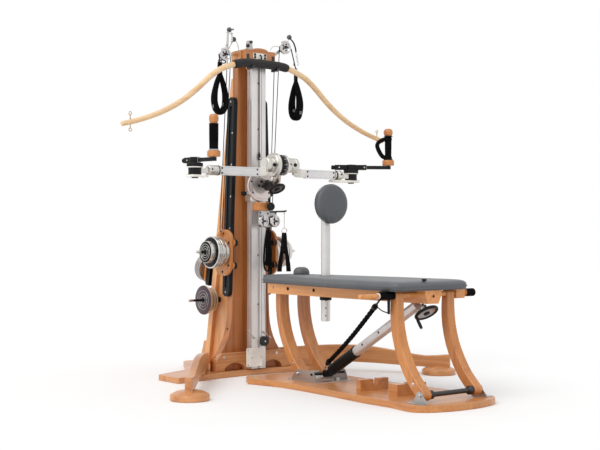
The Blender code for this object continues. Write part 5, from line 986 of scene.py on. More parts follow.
def strip(bm, route, widths, thick, across):
    """Flat strap along a route with soft edges: across is its wide direction."""
    across = Vector(across).normalized()
    count = len(route)
    rings = []
    for i, point in enumerate(route):
        ahead = (route[min(i + 1, count - 1)] - route[max(i - 1, 0)]).normalized()
        out = across.cross(ahead).normalized()
        wide = widths[i] if isinstance(widths, (list, tuple)) else widths
        w, t = wide / 2, thick / 2
        e = min(t, w * 0.4)
        corners = [(-w, -t * 0.3), (-w + e * 0.7, -t), (0, -t), (w - e * 0.7, -t), (w, -t * 0.3), (w, t * 0.3),
            (w - e * 0.7, t), (0, t), (-w + e * 0.7, t), (-w, t * 0.3)]
        rings.append([bm.verts.new(point + across * a + out * b) for a, b in corners])
    skin(bm, rings)


def seam(bm, route, radius=0.0006, step=0.005):
    """Row of stitches along a route."""
    points = resample(route, step)
    for a, b in zip(points[::2], points[1::2]):
        rod(bm, a, a.lerp(b, 0.8), radius, 5)


def stirrup(side, name, y, wheel, radius, facing):
    """Padded loop on its strap and line: a sleeve of neoprene round the webbing, stitched at the neck."""
    body = name + "_stirrup_unit"
    top_z = 1.946
    centre = Vector((WHEEL_X, y, 0))
    inplane, across = (Y, X) if facing == "X" else (X, Y)
    count = 72
    bm = bmesh.new()
    rings = []
    spots = []
    for i in range(count):
        a = 2 * math.pi * i / count
        drop = (1 - math.cos(a)) / 2
        wide = 0.05 * math.sin(a) * (0.35 + 0.65 * math.sin(drop * math.pi / 2))
        height = top_z - 0.012 - 0.239 * drop
        spots.append(centre + inplane * wide + Vector((0, 0, height)))
    for i, point in enumerate(spots):
        a = 2 * math.pi * i / count
        full = math.sin((1 - math.cos(a)) / 2 * math.pi / 2)
        thick = 0.017 * (0.8 + 0.2 * min(1.0, full * 1.3)) * (1 + 0.04 * math.sin(7 * a + 1.0))
        broad = 0.028 * (0.45 + 0.55 * full) * (1 + 0.03 * math.sin(5 * a))
        ahead = (spots[(i + 1) % count] - spots[i - 1]).normalized()
        out = across.cross(ahead).normalized()
        ring = []
        for t in around(20):
            c, s = math.cos(t), math.sin(t)
            u = math.copysign(abs(c) ** 0.7, c) * broad
            v = math.copysign(abs(s) ** 0.8, s) * thick
            ring.append(bm.verts.new(point + across * u + out * v))
        rings.append(ring)
    skin(bm, rings, closed=True)
    made = piece(name + "_stirrup_pad", bm, FOAM, body, "black", smooth=60)
    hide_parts(name + "_stirrup")
    bm = bmesh.new()
    route = [centre + Vector((0, 0, z)) for z in (1.905, 1.93, 1.96, 1.99, 2.016)]
    strip(bm, route, [0.04, 0.038, 0.036, 0.036, 0.033], 0.011, inplane)
    piece(name + "_stirrup_strap", bm, WEB, body, "black")
    bm = bmesh.new()
    for sign in (-1, 1):
        face = centre + across * (sign * 0.0057)
        for first, last in ((-1, -1), (1, 1), (-1, 1), (1, -1)):
            seam(bm, [face + inplane * (0.009 * first) + Z * 1.95, face + inplane * (0.009 * last) + Z * 1.985])
    piece(name + "_stirrup_stitches", bm, plastic(name + "_thread", srgb(88, 88, 90), 0.6), body, "black")
    bm = bmesh.new()
    for i in (round(0.36 * count), round(0.64 * count)):
        out = across.cross((spots[(i + 1) % count] - spots[i - 1]).normalized())
        for k in (-1, 1):
            p = spots[i] + out * (k * 0.0172)
            strip(bm, [p - Vector((0, 0, 0.016)), p + Vector((0, 0, 0.016))], 0.02, 0.0016, across)
    piece(name + "_stirrup_tabs", bm, plastic(name + "_tab", srgb(96, 96, 98), 0.5), body, "black")
    hang = Vector((WHEEL_X, wheel[1] + side * (radius + 0.0055), wheel[2] - 0.004))
    strap_top = Vector((WHEEL_X, y, 2.01))
    laid_rope(name + "_stirrup_line", [strap_top + Vector((0, 0, 0.016)), hang], 0.004, body, ROPE, lay=0.018,
        sides=12)
    bm = bmesh.new()
    ring = [strap_top + inplane * (0.013 * math.cos(a)) + Z * (0.01 + 0.012 * math.sin(a)) for a in around(24)]
    tube(bm, ring, 0.0026, 8, closed=True)
    knot = strap_top.lerp(hang, 0.3)
    half = (hang - strap_top).normalized() * 0.01
    tube(bm, [knot - half, knot + half], 0.0058, 12)
    piece(name + "_stirrup_ring", bm, DARK_STEEL, body, "steel")


stirrup(-1, "left", -0.276, LEFT_WHEEL, LEFT_RADIUS, "X")
stirrup(1, "right", 0.338, RIGHT_WHEEL, RIGHT_RADIUS, "Y")


def hanging_straps():
    """Folded strap and forked strap below the small pulleys: webbing, loops, buckles and stitching."""
    body = "left_strap_unit"
    x = 0.32
    bm = bmesh.new()
    y = -0.02
    front = [(y - 0.004, 0.944), (y - 0.014, 0.9), (y - 0.024, 0.82), (y - 0.028, 0.75), (y - 0.022, 0.7),
        (y - 0.006, 0.68), (y + 0.012, 0.688), (y + 0.024, 0.72), (y + 0.026, 0.8), (y + 0.016, 0.89),
        (y + 0.004, 0.942)]
    route = curve_through([(0.3155, a, z) for a, z in front], 5)
    strip(bm, route, [0.016] * len(route), 0.006, (1, 0.15, 0))
    piece("left_strap_loop", bm, WEB, body, "black")
    bm = bmesh.new()
    route = curve_through([(x, y, 0.945), (0.322, y + 0.002, 0.86), (0.323, y, 0.78),
        (0.3215, y - 0.002, 0.715)], 6)
    widths = [0.022 + 0.022 * min(1.0, i / 10) for i in range(len(route))]
    strip(bm, route, widths, 0.01, (0, 1, 0))
    sleeve = piece("left_strap_sleeve", bm, FOAM, body, "black")
    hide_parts("left_hanging_strap")
    body = "right_strap_unit"
    y = 0.112
    bm = bmesh.new()
    for sign in (-1, 1):
        pts = [(y + sign * 0.008, 0.924), (y + sign * 0.011, 0.86), (y + sign * 0.02, 0.79),
            (y + sign * 0.03, 0.73), (y + sign * 0.036, 0.674)]
        route = curve_through([(0.318 + sign * 0.002, a, z) for a, z in pts], 5)
        strip(bm, route, [0.016 + 0.02 * min(1.0, i / 16) for i in range(len(route))], 0.007, (0, 1, 0))
    piece("right_strap_tails", bm, WEB, body, "black")
    bm = bmesh.new()
    route = [Vector((x, y, z)) for z in (0.925, 0.9, 0.86, 0.825, 0.79)]
    strip(bm, route, [0.03, 0.04, 0.042, 0.046, 0.05], 0.0145, (0, 1, 0))
    sleeve = piece("right_strap_sleeve", bm, FOAM, body, "black")
    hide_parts("right_hanging_strap")
    bm = bmesh.new()
    for (y0, z0), (y1, z1) in (((-0.014, 0.915), (-0.018, 0.8)), ((0.014, 0.915), (0.018, 0.8)),
            ((-0.014, 0.905), (0.014, 0.905)), ((-0.018, 0.815), (0.018, 0.815))):
        seam(bm, [(0.3275, y + y0, z0), (0.3275, y + y1, z1)])
    piece("right_strap_stitches", bm, plastic("strap_thread", srgb(92, 92, 94), 0.6), body, "black")
    bm = bmesh.new()
    ring = [(x, y + 0.021 * math.cos(a), 0.939 + 0.015 * math.sin(a)) for a in around(28)]
    tube(bm, ring, 0.0026, 8, closed=True)
    rod(bm, (x, y, 0.953), (x, y, 1.0515), 0.002, 8)
    tube(bm, curve_through([(x, y, 1.045), (x, y + 0.005, 1.052), (x, y, 1.058), (x, y - 0.005, 1.052)], 4,
        True), 0.0016, 6, closed=True)
    piece("right_strap_ring", bm, CHROME, body, "chrome")
    laid_rope("left_strap_line", [(x, -0.02, 0.94), (0.31, -0.021, 0.955), (0.292, -0.023, 0.9655)], 0.0028,
        "left_strap_unit", ROPE, lay=0.014, sides=9)


hanging_straps()


# Arched bar

BAR_HALF = [(0.0, 2.016), (0.12, 2.015), (0.2, 2.004), (0.27, 1.983), (0.35, 1.948), (0.43, 1.89), (0.51, 1.82),
    (0.6, 1.751), (0.7, 1.691), (0.8, 1.644), (0.92, 1.601), (1.037, 1.57)]


def arched_bar():
    """Bent wood bar with its foam sleeve, end rings and a screw eye above and below each tip."""
    spots = [(-y, z) for y, z in reversed(BAR_HALF[1:])] + BAR_HALF
    route = curve_through([(0.245, y, z) for y, z in spots], 7)
    radii = [0.0185 - 0.003 * max(0.0, abs(p[1]) - 0.5) / 0.537 for p in route]
    first, last = route[0] - route[1], route[-1] - route[-2]
    route = [route[0] + first.normalized() * 0.003] + route + [route[-1] + last.normalized() * 0.003]
    radii = [radii[0] - 0.003] + radii + [radii[-1] - 0.003]
    bm = bmesh.new()
    tube(bm, route, radii, 24, across=(1, 0, 0))
    stands_for(piece("bent_bar", bm, BENT_WOOD, "bar_unit", "wood_light"), "arched_bar")
    inside = [p for p in route if -0.236 < p[1] < 0.193]
    shape = []
    for i in range(len(inside)):
        end = min(i, len(inside) - 1 - i)
        shape.append(0.0245 if end == 0 else 0.0278 if end == 1 else 0.0282 + 0.0004 * math.sin(i * 1.9))
    bm = bmesh.new()
    tube(bm, inside, shape, 28, across=(1, 0, 0))
    sleeve_skin = plastic("bar_sleeve_skin", srgb(40, 38, 38), 0.5, 340.0, 0.0004)
    made = piece("bar_foam", bm, sleeve_skin, "bar_unit", "black", smooth=60)
    stands_for(made, "bar_sleeve")
    bm = bmesh.new()
    for a, b in ((inside[0], inside[1]), (inside[-1], inside[-2])):
        axis = (b - a).normalized()
        lathe(bm, mm((18.6, 0), (23.5, 0), (25, 2), (25, 6), (18.6, 6)), axis, a - axis * 0.004, 32,
            closed=True)
    piece("bar_foam_rings", bm, BLACK, "bar_unit", "black")
    bm = bmesh.new()
    for side in (-1, 1):
        tip = Vector((0.245, side * 0.982, 1.587))
        for up in (-1, 1):
            rod(bm, tip + Vector((0, 0, up * 0.013)), tip + Vector((0, 0, up * 0.04)), 0.0032, 12)
            lathe(bm, mm((0, 0), (7, 0), (6, 2.2), (0, 2.2)), Z * up, tip + Vector((0, 0, up * 0.0165)), 16)
            spot = tip + Vector((0, 0, up * 0.049))
            ring = [spot + Vector((0, 0.0092 * math.cos(a), 0.0092 * math.sin(a))) for a in around(24)]
            tube(bm, ring, 0.0026, 8, closed=True)
    piece("bar_screw_eyes", bm, metal("brassy_eyes", srgb(196, 174, 138), 0.32, "Z"), "bar_unit", "steel")


arched_bar()


# Handle unit: saddle, plate, neck, hub, arms and cranks

HUB = Vector((0.39, 0.0, 1.357))
PLATE_SILVER = metal("round_plate", srgb(216, 204, 200), 0.3, "Z", 0.8)


def hub_part(name, profile):
    turned(name, profile, Y, HUB, 64, CAST_SILVER, "handle_unit", "aluminium")


def handle_unit():
    """Saddle on the rail, round plate with its knobs, curved neck, drums and the graduated ring."""
    plate_z = 1.23
    bm = bmesh.new()
    for sign in (-1, 1):
        prism(bm, [(0.1372, sign * 0.0575), (0.1927, sign * 0.0575), (0.2047, sign * 0.0575),
            (0.2047, sign * 0.0615), (0.199, sign * 0.0695), (0.1372, sign * 0.0695)], "XY", 1.13, 1.33)
    block(bm, (0.1927, -0.0576, 1.13), (0.2047, 0.0576, 1.33))
    stands_for(piece("saddle", bm, CAST_SILVER, "handle_unit", "aluminium", bevel=0.0015), "handle_carriage")
    turned("round_plate", mm((0, 0), (100, 0), (100, 9.5), (98.5, 11.8), (95, 12.5), (90, 12.5), (88.5, 11.8),
        (86, 11.8), (84.5, 12.5), (50, 12.5), (48, 11.7), (0, 11.7)), X, (0.204, 0, plate_z), 72, PLATE_SILVER,
        "handle_unit", "aluminium")
    bm = bmesh.new()
    for y, z in ((-0.017, 1.297), (0.004, 1.258), (-0.015, 1.231), (0.012, 1.226)):
        lathe(bm, mm((0, 0), (8.5, 0), (8.5, 3), (6.5, 4), (7.2, 9), (5.5, 12), (0, 12.5)), X, (0.2155, y, z),
            20)
    piece("plate_knobs", bm, BLACK, "handle_unit", "black")
    spots = [((0.2162, 0.078 * math.cos(a), plate_z + 0.078 * math.sin(a)), X)
        for a in [math.radians(d) for d in (100, 160, 215, 325)]]
    screws("plate_screws", spots, "handle_unit", radius=0.0045, height=0.003)
    neck = curve_through([(0.211, 0.052, 1.235), (0.3, 0.048, 1.24), (0.372, 0.012, 1.27), (0.385, 0, 1.335)],
        10)
    bm = bmesh.new()
    tube(bm, neck[:17], [0.03, 0.0285, 0.027] + [0.026] * 14, 36, across=(0, 1, 0))
    lathe(bm, mm((0, 0), (36, 0), (36, 6), (32, 10), (0, 10)), X, (0.215, 0.052, 1.235), 48)
    piece("neck_root", bm, DARK_STEEL, "handle_unit", "aluminium", smooth=50)
    # The neck's silver is darker and browner than the cast silver: painted shade.
    bm = bmesh.new()
    tube(bm, neck[16:], 0.0268, 36, across=(0, 1, 0))
    piece("neck", bm, metal("neck_casting_painted_shade", srgb(190, 176, 166), 0.3, "Z", 0.8), "handle_unit", "aluminium",
        smooth=50)
    hub_part("near_drum", mm((0, -72), (43.5, -72), (46.5, -70.8), (48.2, -66.5), (49, -57.5), (48.2, -48.5),
        (46.8, -44.5), (45.5, -42.5), (0, -42.5)))
    hub_part("hub_disc", mm((0, -43), (66, -43), (68, -41.5), (73.5, -41.5), (75.8, -39), (76.5, -35),
        (76.5, -31), (75.2, -29.5), (75.2, -27), (76.5, -25.5), (76.5, -19), (75.5, -14.5), (72.5, -13),
        (0, -13)))
    bm = bmesh.new()
    ring = [(0.05, -0.0128), (0.0655, -0.0128), (0.066, -0.0115), (0.066, 0.0425), (0.0648, 0.044),
        (0.05, 0.044)]
    lathe(bm, ring, Y, (HUB.x, 0, HUB.z), 72, closed=True)
    piece("graduated_ring", bm, plastic("ring_black", JET, 0.38), "handle_unit", "black")
    bm = bmesh.new()
    for i, a in enumerate(around(48)):
        long = 0.024 if i % 4 == 0 else 0.014
        out = Vector((math.cos(a), 0, math.sin(a)))
        across = Vector((-math.sin(a), 0, math.cos(a))) * (0.001 if i % 4 == 0 else 0.0007)
        base = HUB + out * 0.0661
        corners = [base + across * way + Y * y for way, y in ((-1, 0.04), (1, 0.04), (1, 0.04 - long),
            (-1, 0.04 - long))]
        slab(bm, [p - out * 0.0006 for p in corners], [p + out * 0.0002 for p in corners])
    piece("ring_marks", bm, plastic("ring_mark_paint", srgb(222, 220, 214), 0.5), "handle_unit", "aluminium")
    hub_part("far_flange", mm((0, 44.2), (64, 44.2), (66, 46), (66, 57.5), (64, 60), (0, 60)))
    hub_part("far_drum", mm((0, 60), (46.8, 60), (47, 61.5), (47, 88), (46, 89.5), (46, 91.5), (47, 93),
        (47, 123), (45.5, 125), (0, 125)))
    screws("hub_bolts", [((HUB.x + 0.0485, -0.056, HUB.z - 0.002), X),
        ((HUB.x + 0.0465, 0.111, HUB.z + 0.002), X)], "handle_unit", mat=BLACK, radius=0.0085, height=0.009)
    screws("hub_small_screws", [((HUB.x + 0.0465, 0.078, HUB.z + 0.006), X)], "handle_unit", radius=0.0038,
        height=0.0035)
    turned("latch_stem", mm((0, 0), (6, 0), (6, 16), (0, 16)), Y * -1, (0.1662, -0.069, 1.18), 20, STEEL,
        "handle_unit", "steel")
    turned("latch_knob", mm((0, 0), (11.5, 0), (14, 3), (14, 24), (12.5, 29), (7, 30.5), (0, 30.5)), Y * -1,
        (0.1662, -0.084, 1.18), 28, BLACK, "handle_unit", "black")


handle_unit()


ARM_Z = 1.307
BOARD_TOP = 1.2745
BAR_Z = 1.3635
HEAD_X, HEAD_Y = 0.39, 0.62


def arm(side, name, root, bar_start, bar_end, board_start):
    """Arm with its root drum, tapered web and bar, then the knuckle, housing and board of its turning head."""
    body = name + "_arm_unit"
    turned(name + "_arm_root", mm((0, 0), (45.5, 0), (47.5, 1.5), (47.5, 22.5), (45.5, 24), (30, 24), (28, 23),
        (0, 23)), Y * side, (HUB.x, side * (root + 0.0003), HUB.z), 56, CAST_SILVER, body, "aluminium")
    bm = bmesh.new()
    web = [(root + 0.004, 1.3), (root + 0.004, 1.345), (bar_start + 0.004, 1.3325), (bar_start + 0.004, 1.2815),
        (root + 0.03, 1.285)]
    prism(bm, [(side * y, z) for y, z in web], "YZ", 0.377, 0.403)
    piece(name + "_arm_web", bm, WHITE_PLATE, body, "aluminium", bevel=0.002)
    bm = bmesh.new()
    low, high = sorted((side * bar_start, side * bar_end))
    block(bm, (0.375, low, 1.2785), (0.405, high, 1.3355))
    stands_for(piece(name + "_arm_bar", bm, ARM_SILVER, body, "aluminium", bevel=0.002), name + "_arm")
    bm = bmesh.new()
    for z in (1.2865, 1.3275):
        block(bm, (0.4046, low + 0.002, z - 0.0007), (0.4053, high - 0.002, z + 0.0007))
    piece(name + "_arm_lines", bm, STEEL, body, "aluminium")
    spots = [((0.4052, side * y, z), X) for y in (bar_end - 0.014, bar_start + 0.014) for z in (1.292, 1.322)]
    screws(name + "_arm_bolts", spots, body, radius=0.0042, height=0.003)
    start = bar_end + 0.0003
    long = 0.532 - start
    bm = bmesh.new()
    lathe(bm, [(0, 0), (0.0262, 0), (0.0264, 0.001), (0.0264, 0.0138), (0.0295, 0.014), (0.031, 0.0155),
        (0.031, long * 0.42), (0.0298, long * 0.42 + 0.001), (0.0298, long * 0.42 + 0.003),
        (0.031, long * 0.42 + 0.004), (0.031, long - 0.0085), (0.0285, long - 0.003), (0.024, long), (0, long)],
        Y * side, (HEAD_X, side * start, ARM_Z), 48)
    near, far = sorted((side * 0.522, side * 0.602))
    block(bm, (0.372, near, 1.2862), (0.408, far, 1.3158))
    stands_for(piece(name + "_knuckle", bm, CAST_SILVER, body, "steel", bevel=0.0012), name + "_turntable")
    turned(name + "_knuckle_ring", mm((26.8, 0), (30, 0), (31.6, 1.2), (31.6, 4.8), (30, 6), (26.8, 6)),
        Y * side, (HEAD_X, side * (start + 0.0075), ARM_Z), 48, BLACK, body, "black", closed=True)
    screws(name + "_knuckle_bolts", [((0.4206, side * 0.512, 1.312), X)], body, radius=0.0042, height=0.003)
    centre = HEAD_X, side * HEAD_Y
    turned(name + "_housing", mm((11.5, 0), (38.5, 0), (40, 1.5), (40, 18), (38, 18.5), (38, 21.5), (40, 22),
        (40, 43), (11.5, 43)), Z, (*centre, 1.2747), 56, BLACK, body, "steel", closed=True)
    turned(name + "_turn_plate", mm((11.5, 0), (48.5, 0), (50, 1.2), (50, 5.2), (48.5, 6.2), (11.5, 6.2)), Z,
        (*centre, 1.3177), 64, WHITE_PLATE, body, "steel", closed=True)
    bm = bmesh.new()
    low, high = sorted((side * board_start, side * 0.67))
    prism(bm, rounded(0.34, 0.44, low, high, 0.03, 8), "XY", BOARD_TOP - 0.013, BOARD_TOP)
    piece(name + "_lower_board", bm, WHITE_PLATE, body, "steel", bevel=0.0018)
    spots = [((HEAD_X + dx, side * 0.655, BOARD_TOP), Z) for dx in (-0.03, 0.03)]
    spots += [((HEAD_X + dx, side * (board_start + 0.018), BOARD_TOP), Z) for dx in (-0.034, 0.034)]
    screws(name + "_board_screws", spots, body, radius=0.0042, height=0.003)
    turned(name + "_board_washer", mm((0, 0), (19, 0), (20, -1), (20, -6), (19, -7), (0, -7)), Z,
        (*centre, 1.2613), 36, DARK_STEEL, body, "steel")


arm(-1, "left", 0.072, 0.15, 0.445, 0.54)
arm(1, "right", 0.125, 0.224, 0.472, 0.45)


def crank(side, name, angle, reach, tail, sleeve):
    """Telescopic bar on the head's hub: flange, hub, thick sleeve, slimmer inner bar and tail knob."""
    body = name + "_crank_unit"
    place = Matrix.Translation((HEAD_X, side * HEAD_Y, 0)) @ Matrix.Rotation(math.radians(angle), 4, "Z")

    def at(x, y, z):
        return place @ Vector((x, y, z))

    def board(x0, x1, half, z0, z1):
        prism(bm, [(x0, -half), (x1, -half), (x1, half), (x0, half)], "XY", z0, z1, place)

    stands_for(turned(name + "_crank_hub", mm((0, 0), (48, 0), (50, 1.5), (50, 17.5), (48, 20), (35, 20),
        (34, 21), (34, 30), (32.5, 30.5), (32.5, 33), (34, 33.5), (34, 53), (31.5, 55.5), (0, 55.5)), Z,
        at(0, 0, 1.326), 64, BLACK, body, "black"), name + "_crank")
    bm = bmesh.new()
    board(0.022 - tail, sleeve, 0.016, 1.3465, 1.3805)
    piece(name + "_crank_sleeve", bm, BLACK, body, "black", bevel=0.0025, segments=3)
    bm = bmesh.new()
    outline = [(0.02, -0.0128), (reach, -0.0128)]
    outline += [(reach + 0.0175 * math.cos(a), 0.0175 * math.sin(a))
        for a in [math.radians(-75 + 150 * i / 14) for i in range(15)]]
    outline += [(reach, 0.0128), (0.02, 0.0128)]
    prism(bm, outline, "XY", 1.352, 1.375, place)
    inner_black = plastic(name + "_inner_black", srgb(24, 23, 24), 0.35)
    piece(name + "_crank_inner", bm, inner_black, body, "black", bevel=0.0018)
    bm = bmesh.new()
    board(sleeve + 0.0002, sleeve + 0.0024, 0.015, 1.3475, 1.3795)
    piece(name + "_crank_joint", bm, STEEL, body, "steel", bevel=0.0006)
    bm = bmesh.new()
    axis = place.to_3x3() @ Vector((-1, 0, 0))
    lathe(bm, mm((0, 0), (11.5, 0), (12.5, 3), (14.5, 6), (15.2, 12), (14, 18), (10, 21.5), (0, 22.5)), axis,
        at(0.0215 - tail, 0, BAR_Z), 32)
    piece(name + "_tail_knob", bm, BLACK, body, "black")
    turned(name + "_crank_shaft", mm((0, 0), (10, 0), (10, 58.5), (0, 58.5)), Z, at(0, 0, 1.2665), 28, STEEL,
        body, "steel")
    spots = [(at(x, 0.0, z), Z) for x, z in ((0.048 - tail, 1.3805), (sleeve - 0.012, 1.3805), (0, 1.3815))]
    screws(name + "_crank_bolts", spots, body, mat=CAST_SILVER, radius=0.0036, height=0.003)
    sides = []
    for sign in (-1, 1):
        axis = place.to_3x3() @ Vector((0, sign, 0))
        sides += [(at(x, sign * 0.016, BAR_Z), axis) for x in (0.052 - tail, sleeve - 0.014)]
    screws(name + "_crank_side_bolts", sides, body, mat=CAST_SILVER, radius=0.0034, height=0.0025)


crank(-1, "left", 11.4, 0.161, 0.103, 0.036)
crank(1, "right", 56.5, 0.252, 0.133, 0.103)


FOAM_TOP, KNOB_FOOT = 1.5705, 1.5745


def grip(side, name, centre, foam_r, knob):
    """Upright handle: wood ring, foam sleeve and wood knob, and on the right a hand loop."""
    body = name + "_grip_unit"
    x, y = centre
    foot = x, y, 0
    made = turned(name + "_grip_ring", [(0, 1.376), (0.007, 1.376), (0.007, 1.3772), (0.037, 1.3772),
        (0.04, 1.3802), (0.04, 1.4085), (0.0385, 1.4115), (0.0345, 1.413), (0, 1.413)], Z, foot, 64, PALE_X,
        body, "wood_light")
    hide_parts(name + "_grip")
    turned(name + "_grip_collar", [(foam_r - 0.004, 1.4132), (0.03, 1.4132), (0.031, 1.415), (0.031, 1.42),
        (0.0295, 1.4215), (foam_r - 0.004, 1.4215)], Z, foot, 48, STEEL if side < 0 else BLACK, body, "steel",
        closed=True)
    bm = bmesh.new()
    profile = [(0, 1.42), (foam_r - 0.0035, 1.42), (foam_r - 0.0018, 1.4225), (foam_r - 0.0016, 1.425)]
    count = 40
    for i in range(count + 1):
        t = i / count
        swell = foam_r - 0.0016 + 0.0016 * math.sin(min(1.0, t * 1.3) * math.pi / 2)
        profile.append((swell + 0.00035 * math.cos(t * math.pi * 26), 1.4265 + 0.1405 * t))
    profile += [(foam_r - 0.001, 1.569), (foam_r - 0.003, FOAM_TOP), (0, FOAM_TOP)]
    lathe(bm, profile, Z, foot, 56)
    made = piece(name + "_grip_foam", bm, FOAM, body, "black", smooth=60)
    turned(name + "_grip_flange", [(0, FOAM_TOP), (0.0285, FOAM_TOP), (0.0305, 1.572), (0.03, KNOB_FOOT),
        (0, 1.575)], Z, foot, 48, BLACK, body, "black")
    turned(name + "_grip_knob", knob, Z, foot, 56, PALE_Z, body, "wood_light", smooth=60)
    if side < 0:
        return
    toward = Vector((-0.616, -0.788, 0))
    across = toward.cross(Z)
    middle = Vector(foot)
    spots = [(0.01, 1.428), (0.04, 1.441), (0.066, 1.484), (0.0725, 1.52), (0.046, 1.546), (0.01, 1.557)]
    route = curve_through([middle + toward * d + Z * h for d, h in spots], 8)
    bm = bmesh.new()
    count = len(route)
    strip(bm, route, [0.026 + 0.004 * math.sin(math.pi * i / count) for i in range(count)], 0.027, across)
    made = piece("hand_loop_pad", bm, WEB, body, "black", smooth=50)
    bm = bmesh.new()
    for sign in (-1, 1):
        edge = [p + across * (sign * 0.0115) + toward * 0.0137 for p in route[10:-12]]
        seam(bm, edge, 0.0007, 0.004)
    piece("hand_loop_stitches", bm, plastic("loop_thread", srgb(96, 96, 98), 0.6), body, "black")
    bm = bmesh.new()
    for h in (1.43, 1.5545):
        lathe(bm, mm((22, 0), (25, 0), (25.6, 1), (25.6, 13), (25, 14), (22, 14)), Z, (x, y, h - 0.007), 48,
            closed=True)
    piece("hand_loop_bands", bm, WEB, body, "black")


grip(-1, "left", (0.5478, -0.5882), 0.028, [(0, KNOB_FOOT), (0.0215, KNOB_FOOT), (0.0232, 1.579),
    (0.0262, 1.586), (0.0283, 1.595), (0.029, 1.605), (0.0284, 1.614), (0.0262, 1.622), (0.0215, 1.6285),
    (0.015, 1.6315), (0.007, 1.6328), (0, 1.633)])
grip(1, "right", (0.5291, 0.8301), 0.0228, [(0, KNOB_FOOT), (0.0215, KNOB_FOOT), (0.0245, 1.5775),
    (0.0285, 1.585), (0.0308, 1.5945), (0.031, 1.601), (0.0298, 1.609), (0.0265, 1.6165), (0.021, 1.6218),
    (0.014, 1.6245), (0.007, 1.6254), (0, 1.6256)])


def hand_wheel(name, body, centre, radius, tilt, stem, crank_length):
    """Small wheel: round rim, dished web, hub, stem and drop handle."""
    angle = math.radians(tilt)
    axis = Vector((math.sin(angle), 0, math.cos(angle)))
    c = Vector(centre)
    r = radius
    bm = bmesh.new()
    profile = [(0, -0.01), (0.015, -0.01), (0.018, -0.007), (0.019, -0.003), (r - 0.018, -0.0028)]
    profile += [(r - 0.009 + 0.009 * math.cos(a), 0.009 * math.sin(a))
        for a in [math.radians(-150 + 300 * i / 20) for i in range(21)]]
    profile += [(r - 0.018, 0.0028), (0.019, 0.003), (0.018, 0.007), (0.015, 0.01), (0, 0.01)]
    lathe(bm, profile, axis, c, 56)
    made = piece(name + "_rim", bm, BLACK, body, "black", smooth=50)
    stands_for(made, name)
    bm = bmesh.new()
    tube(bm, [c + axis * d for d in (0.008, 0.018, stem - 0.012, stem)], [0.011, 0.0088, 0.0088, 0.0075], 24)
    piece(name + "_stem", bm, DARK_STEEL, body, "steel")
    bm = bmesh.new()
    for sign in (-1, 1):
        lathe(bm, [(0.0195, 0.003), (r - 0.0185, 0.003), (r - 0.0185, 0.0036), (0.03, 0.0044),
            (0.0195, 0.0042)], axis * sign, c, 56, closed=True)
    piece(name + "_dish", bm, RING_GREY if r < 0.06 else STEEL, body, "black")
    side = Vector((-math.cos(angle), 0, math.sin(angle))) * (r - 0.009) * 0.6 + Vector((0, -1,
        0)) * (r - 0.009) * 0.8
    turned(name + "_handle", [(0, 0), (0.0055, 0), (0.0055, 0.01), (0.007, 0.012), (0.0088, crank_length * 0.4),
        (0.0092, crank_length * 0.75), (0.0075, crank_length * 0.97), (0, crank_length)], -axis, c + side, 24,
        BLACK, body, "black", smooth=50)
    bm = bmesh.new()
    lathe(bm, mm((0, 0), (7.5, 0), (7.5, 1.5), (4, 2.8), (0, 2.8)), axis, c + axis * 0.0095, 6)
    lathe(bm, mm((0, 0), (5, 0), (5, 2), (0, 2)), -axis, c + side - axis * crank_length, 12)
    piece(name + "_nut", bm, STEEL, body, "steel")


hand_wheel("height_wheel", "height_hand_wheel", (0.392, 0.0, 1.205), 0.055, -32.0, 0.05, 0.04)
hand_wheel("jack_wheel", "jack_hand_wheel", (1.745, 0.0, 0.488), 0.07, -35.0, 0.055, 0.076)


def stop_block():
    """Wood stop with its knob, the dark yoke below it, two pins and the hook bar."""
    stands_for(cut("stop_wood", rounded(-0.045, 0.045, 1.068, 1.122, 0.008, 5), "YZ", 0.1927, 0.262,
        wood("stop_wood", srgb(222, 152, 88), srgb(184, 108, 52), "Y"), "tower", "wood", bevel=0.003,
        segments=3), "stop_block")
    cut("pulley_yoke", rounded(-0.049, 0.095, 0.962, 1.0672, 0.014, 5), "YZ", 0.2522, 0.262, STEEL, "tower",
        "steel", bevel=0.001)
    turned("stop_knob", mm((0, 0), (11, 0), (11, 10), (23.5, 13), (27, 18), (27, 28), (24, 34), (12, 35.5),
        (10, 34.5), (0, 34.5)), X, (0.2615, 0.03, 1.095), 40, BLACK, "tower", "black")
    bm = bmesh.new()
    for y in (-0.023, 0.069):
        rod(bm, (0.258, y, 1), (0.2915, y, 1), 0.005, 20)
        lathe(bm, mm((0, 0), (9.5, 0), (9.5, 3), (7.5, 4.5), (0, 4.5)), X, (0.2875, y, 1), 24)
    tube(bm, curve_through([(0.258, 0.039, 1.06), (0.285, 0.07, 1.0625), (0.312, 0.112, 1.064),
        (0.32, 0.13, 1.068)], 6), 0.0056, 16)
    piece("yoke_pins", bm, DARK_STEEL, "tower", "steel")
    screws("yoke_screws", [((0.262, y, z), X) for y, z in ((-0.038, 1.055), (0.023, 1.05), (0.084, 1.055),
        (-0.038, 0.973), (0.084, 0.973))], "tower", radius=0.0045, height=0.003)
    bm = bmesh.new()
    for y in (-0.023, 0.069):
        prism(bm, rounded(y - 0.008, y + 0.008, 0.96, 1.044, 0.006, 4), "YZ", 0.2885, 0.291)
    piece("pulley_cheeks", bm, CHROME, "tower", "chrome", bevel=0.0006)


stop_block()


# Bench: pads

CLOTH_FRAMES = 20


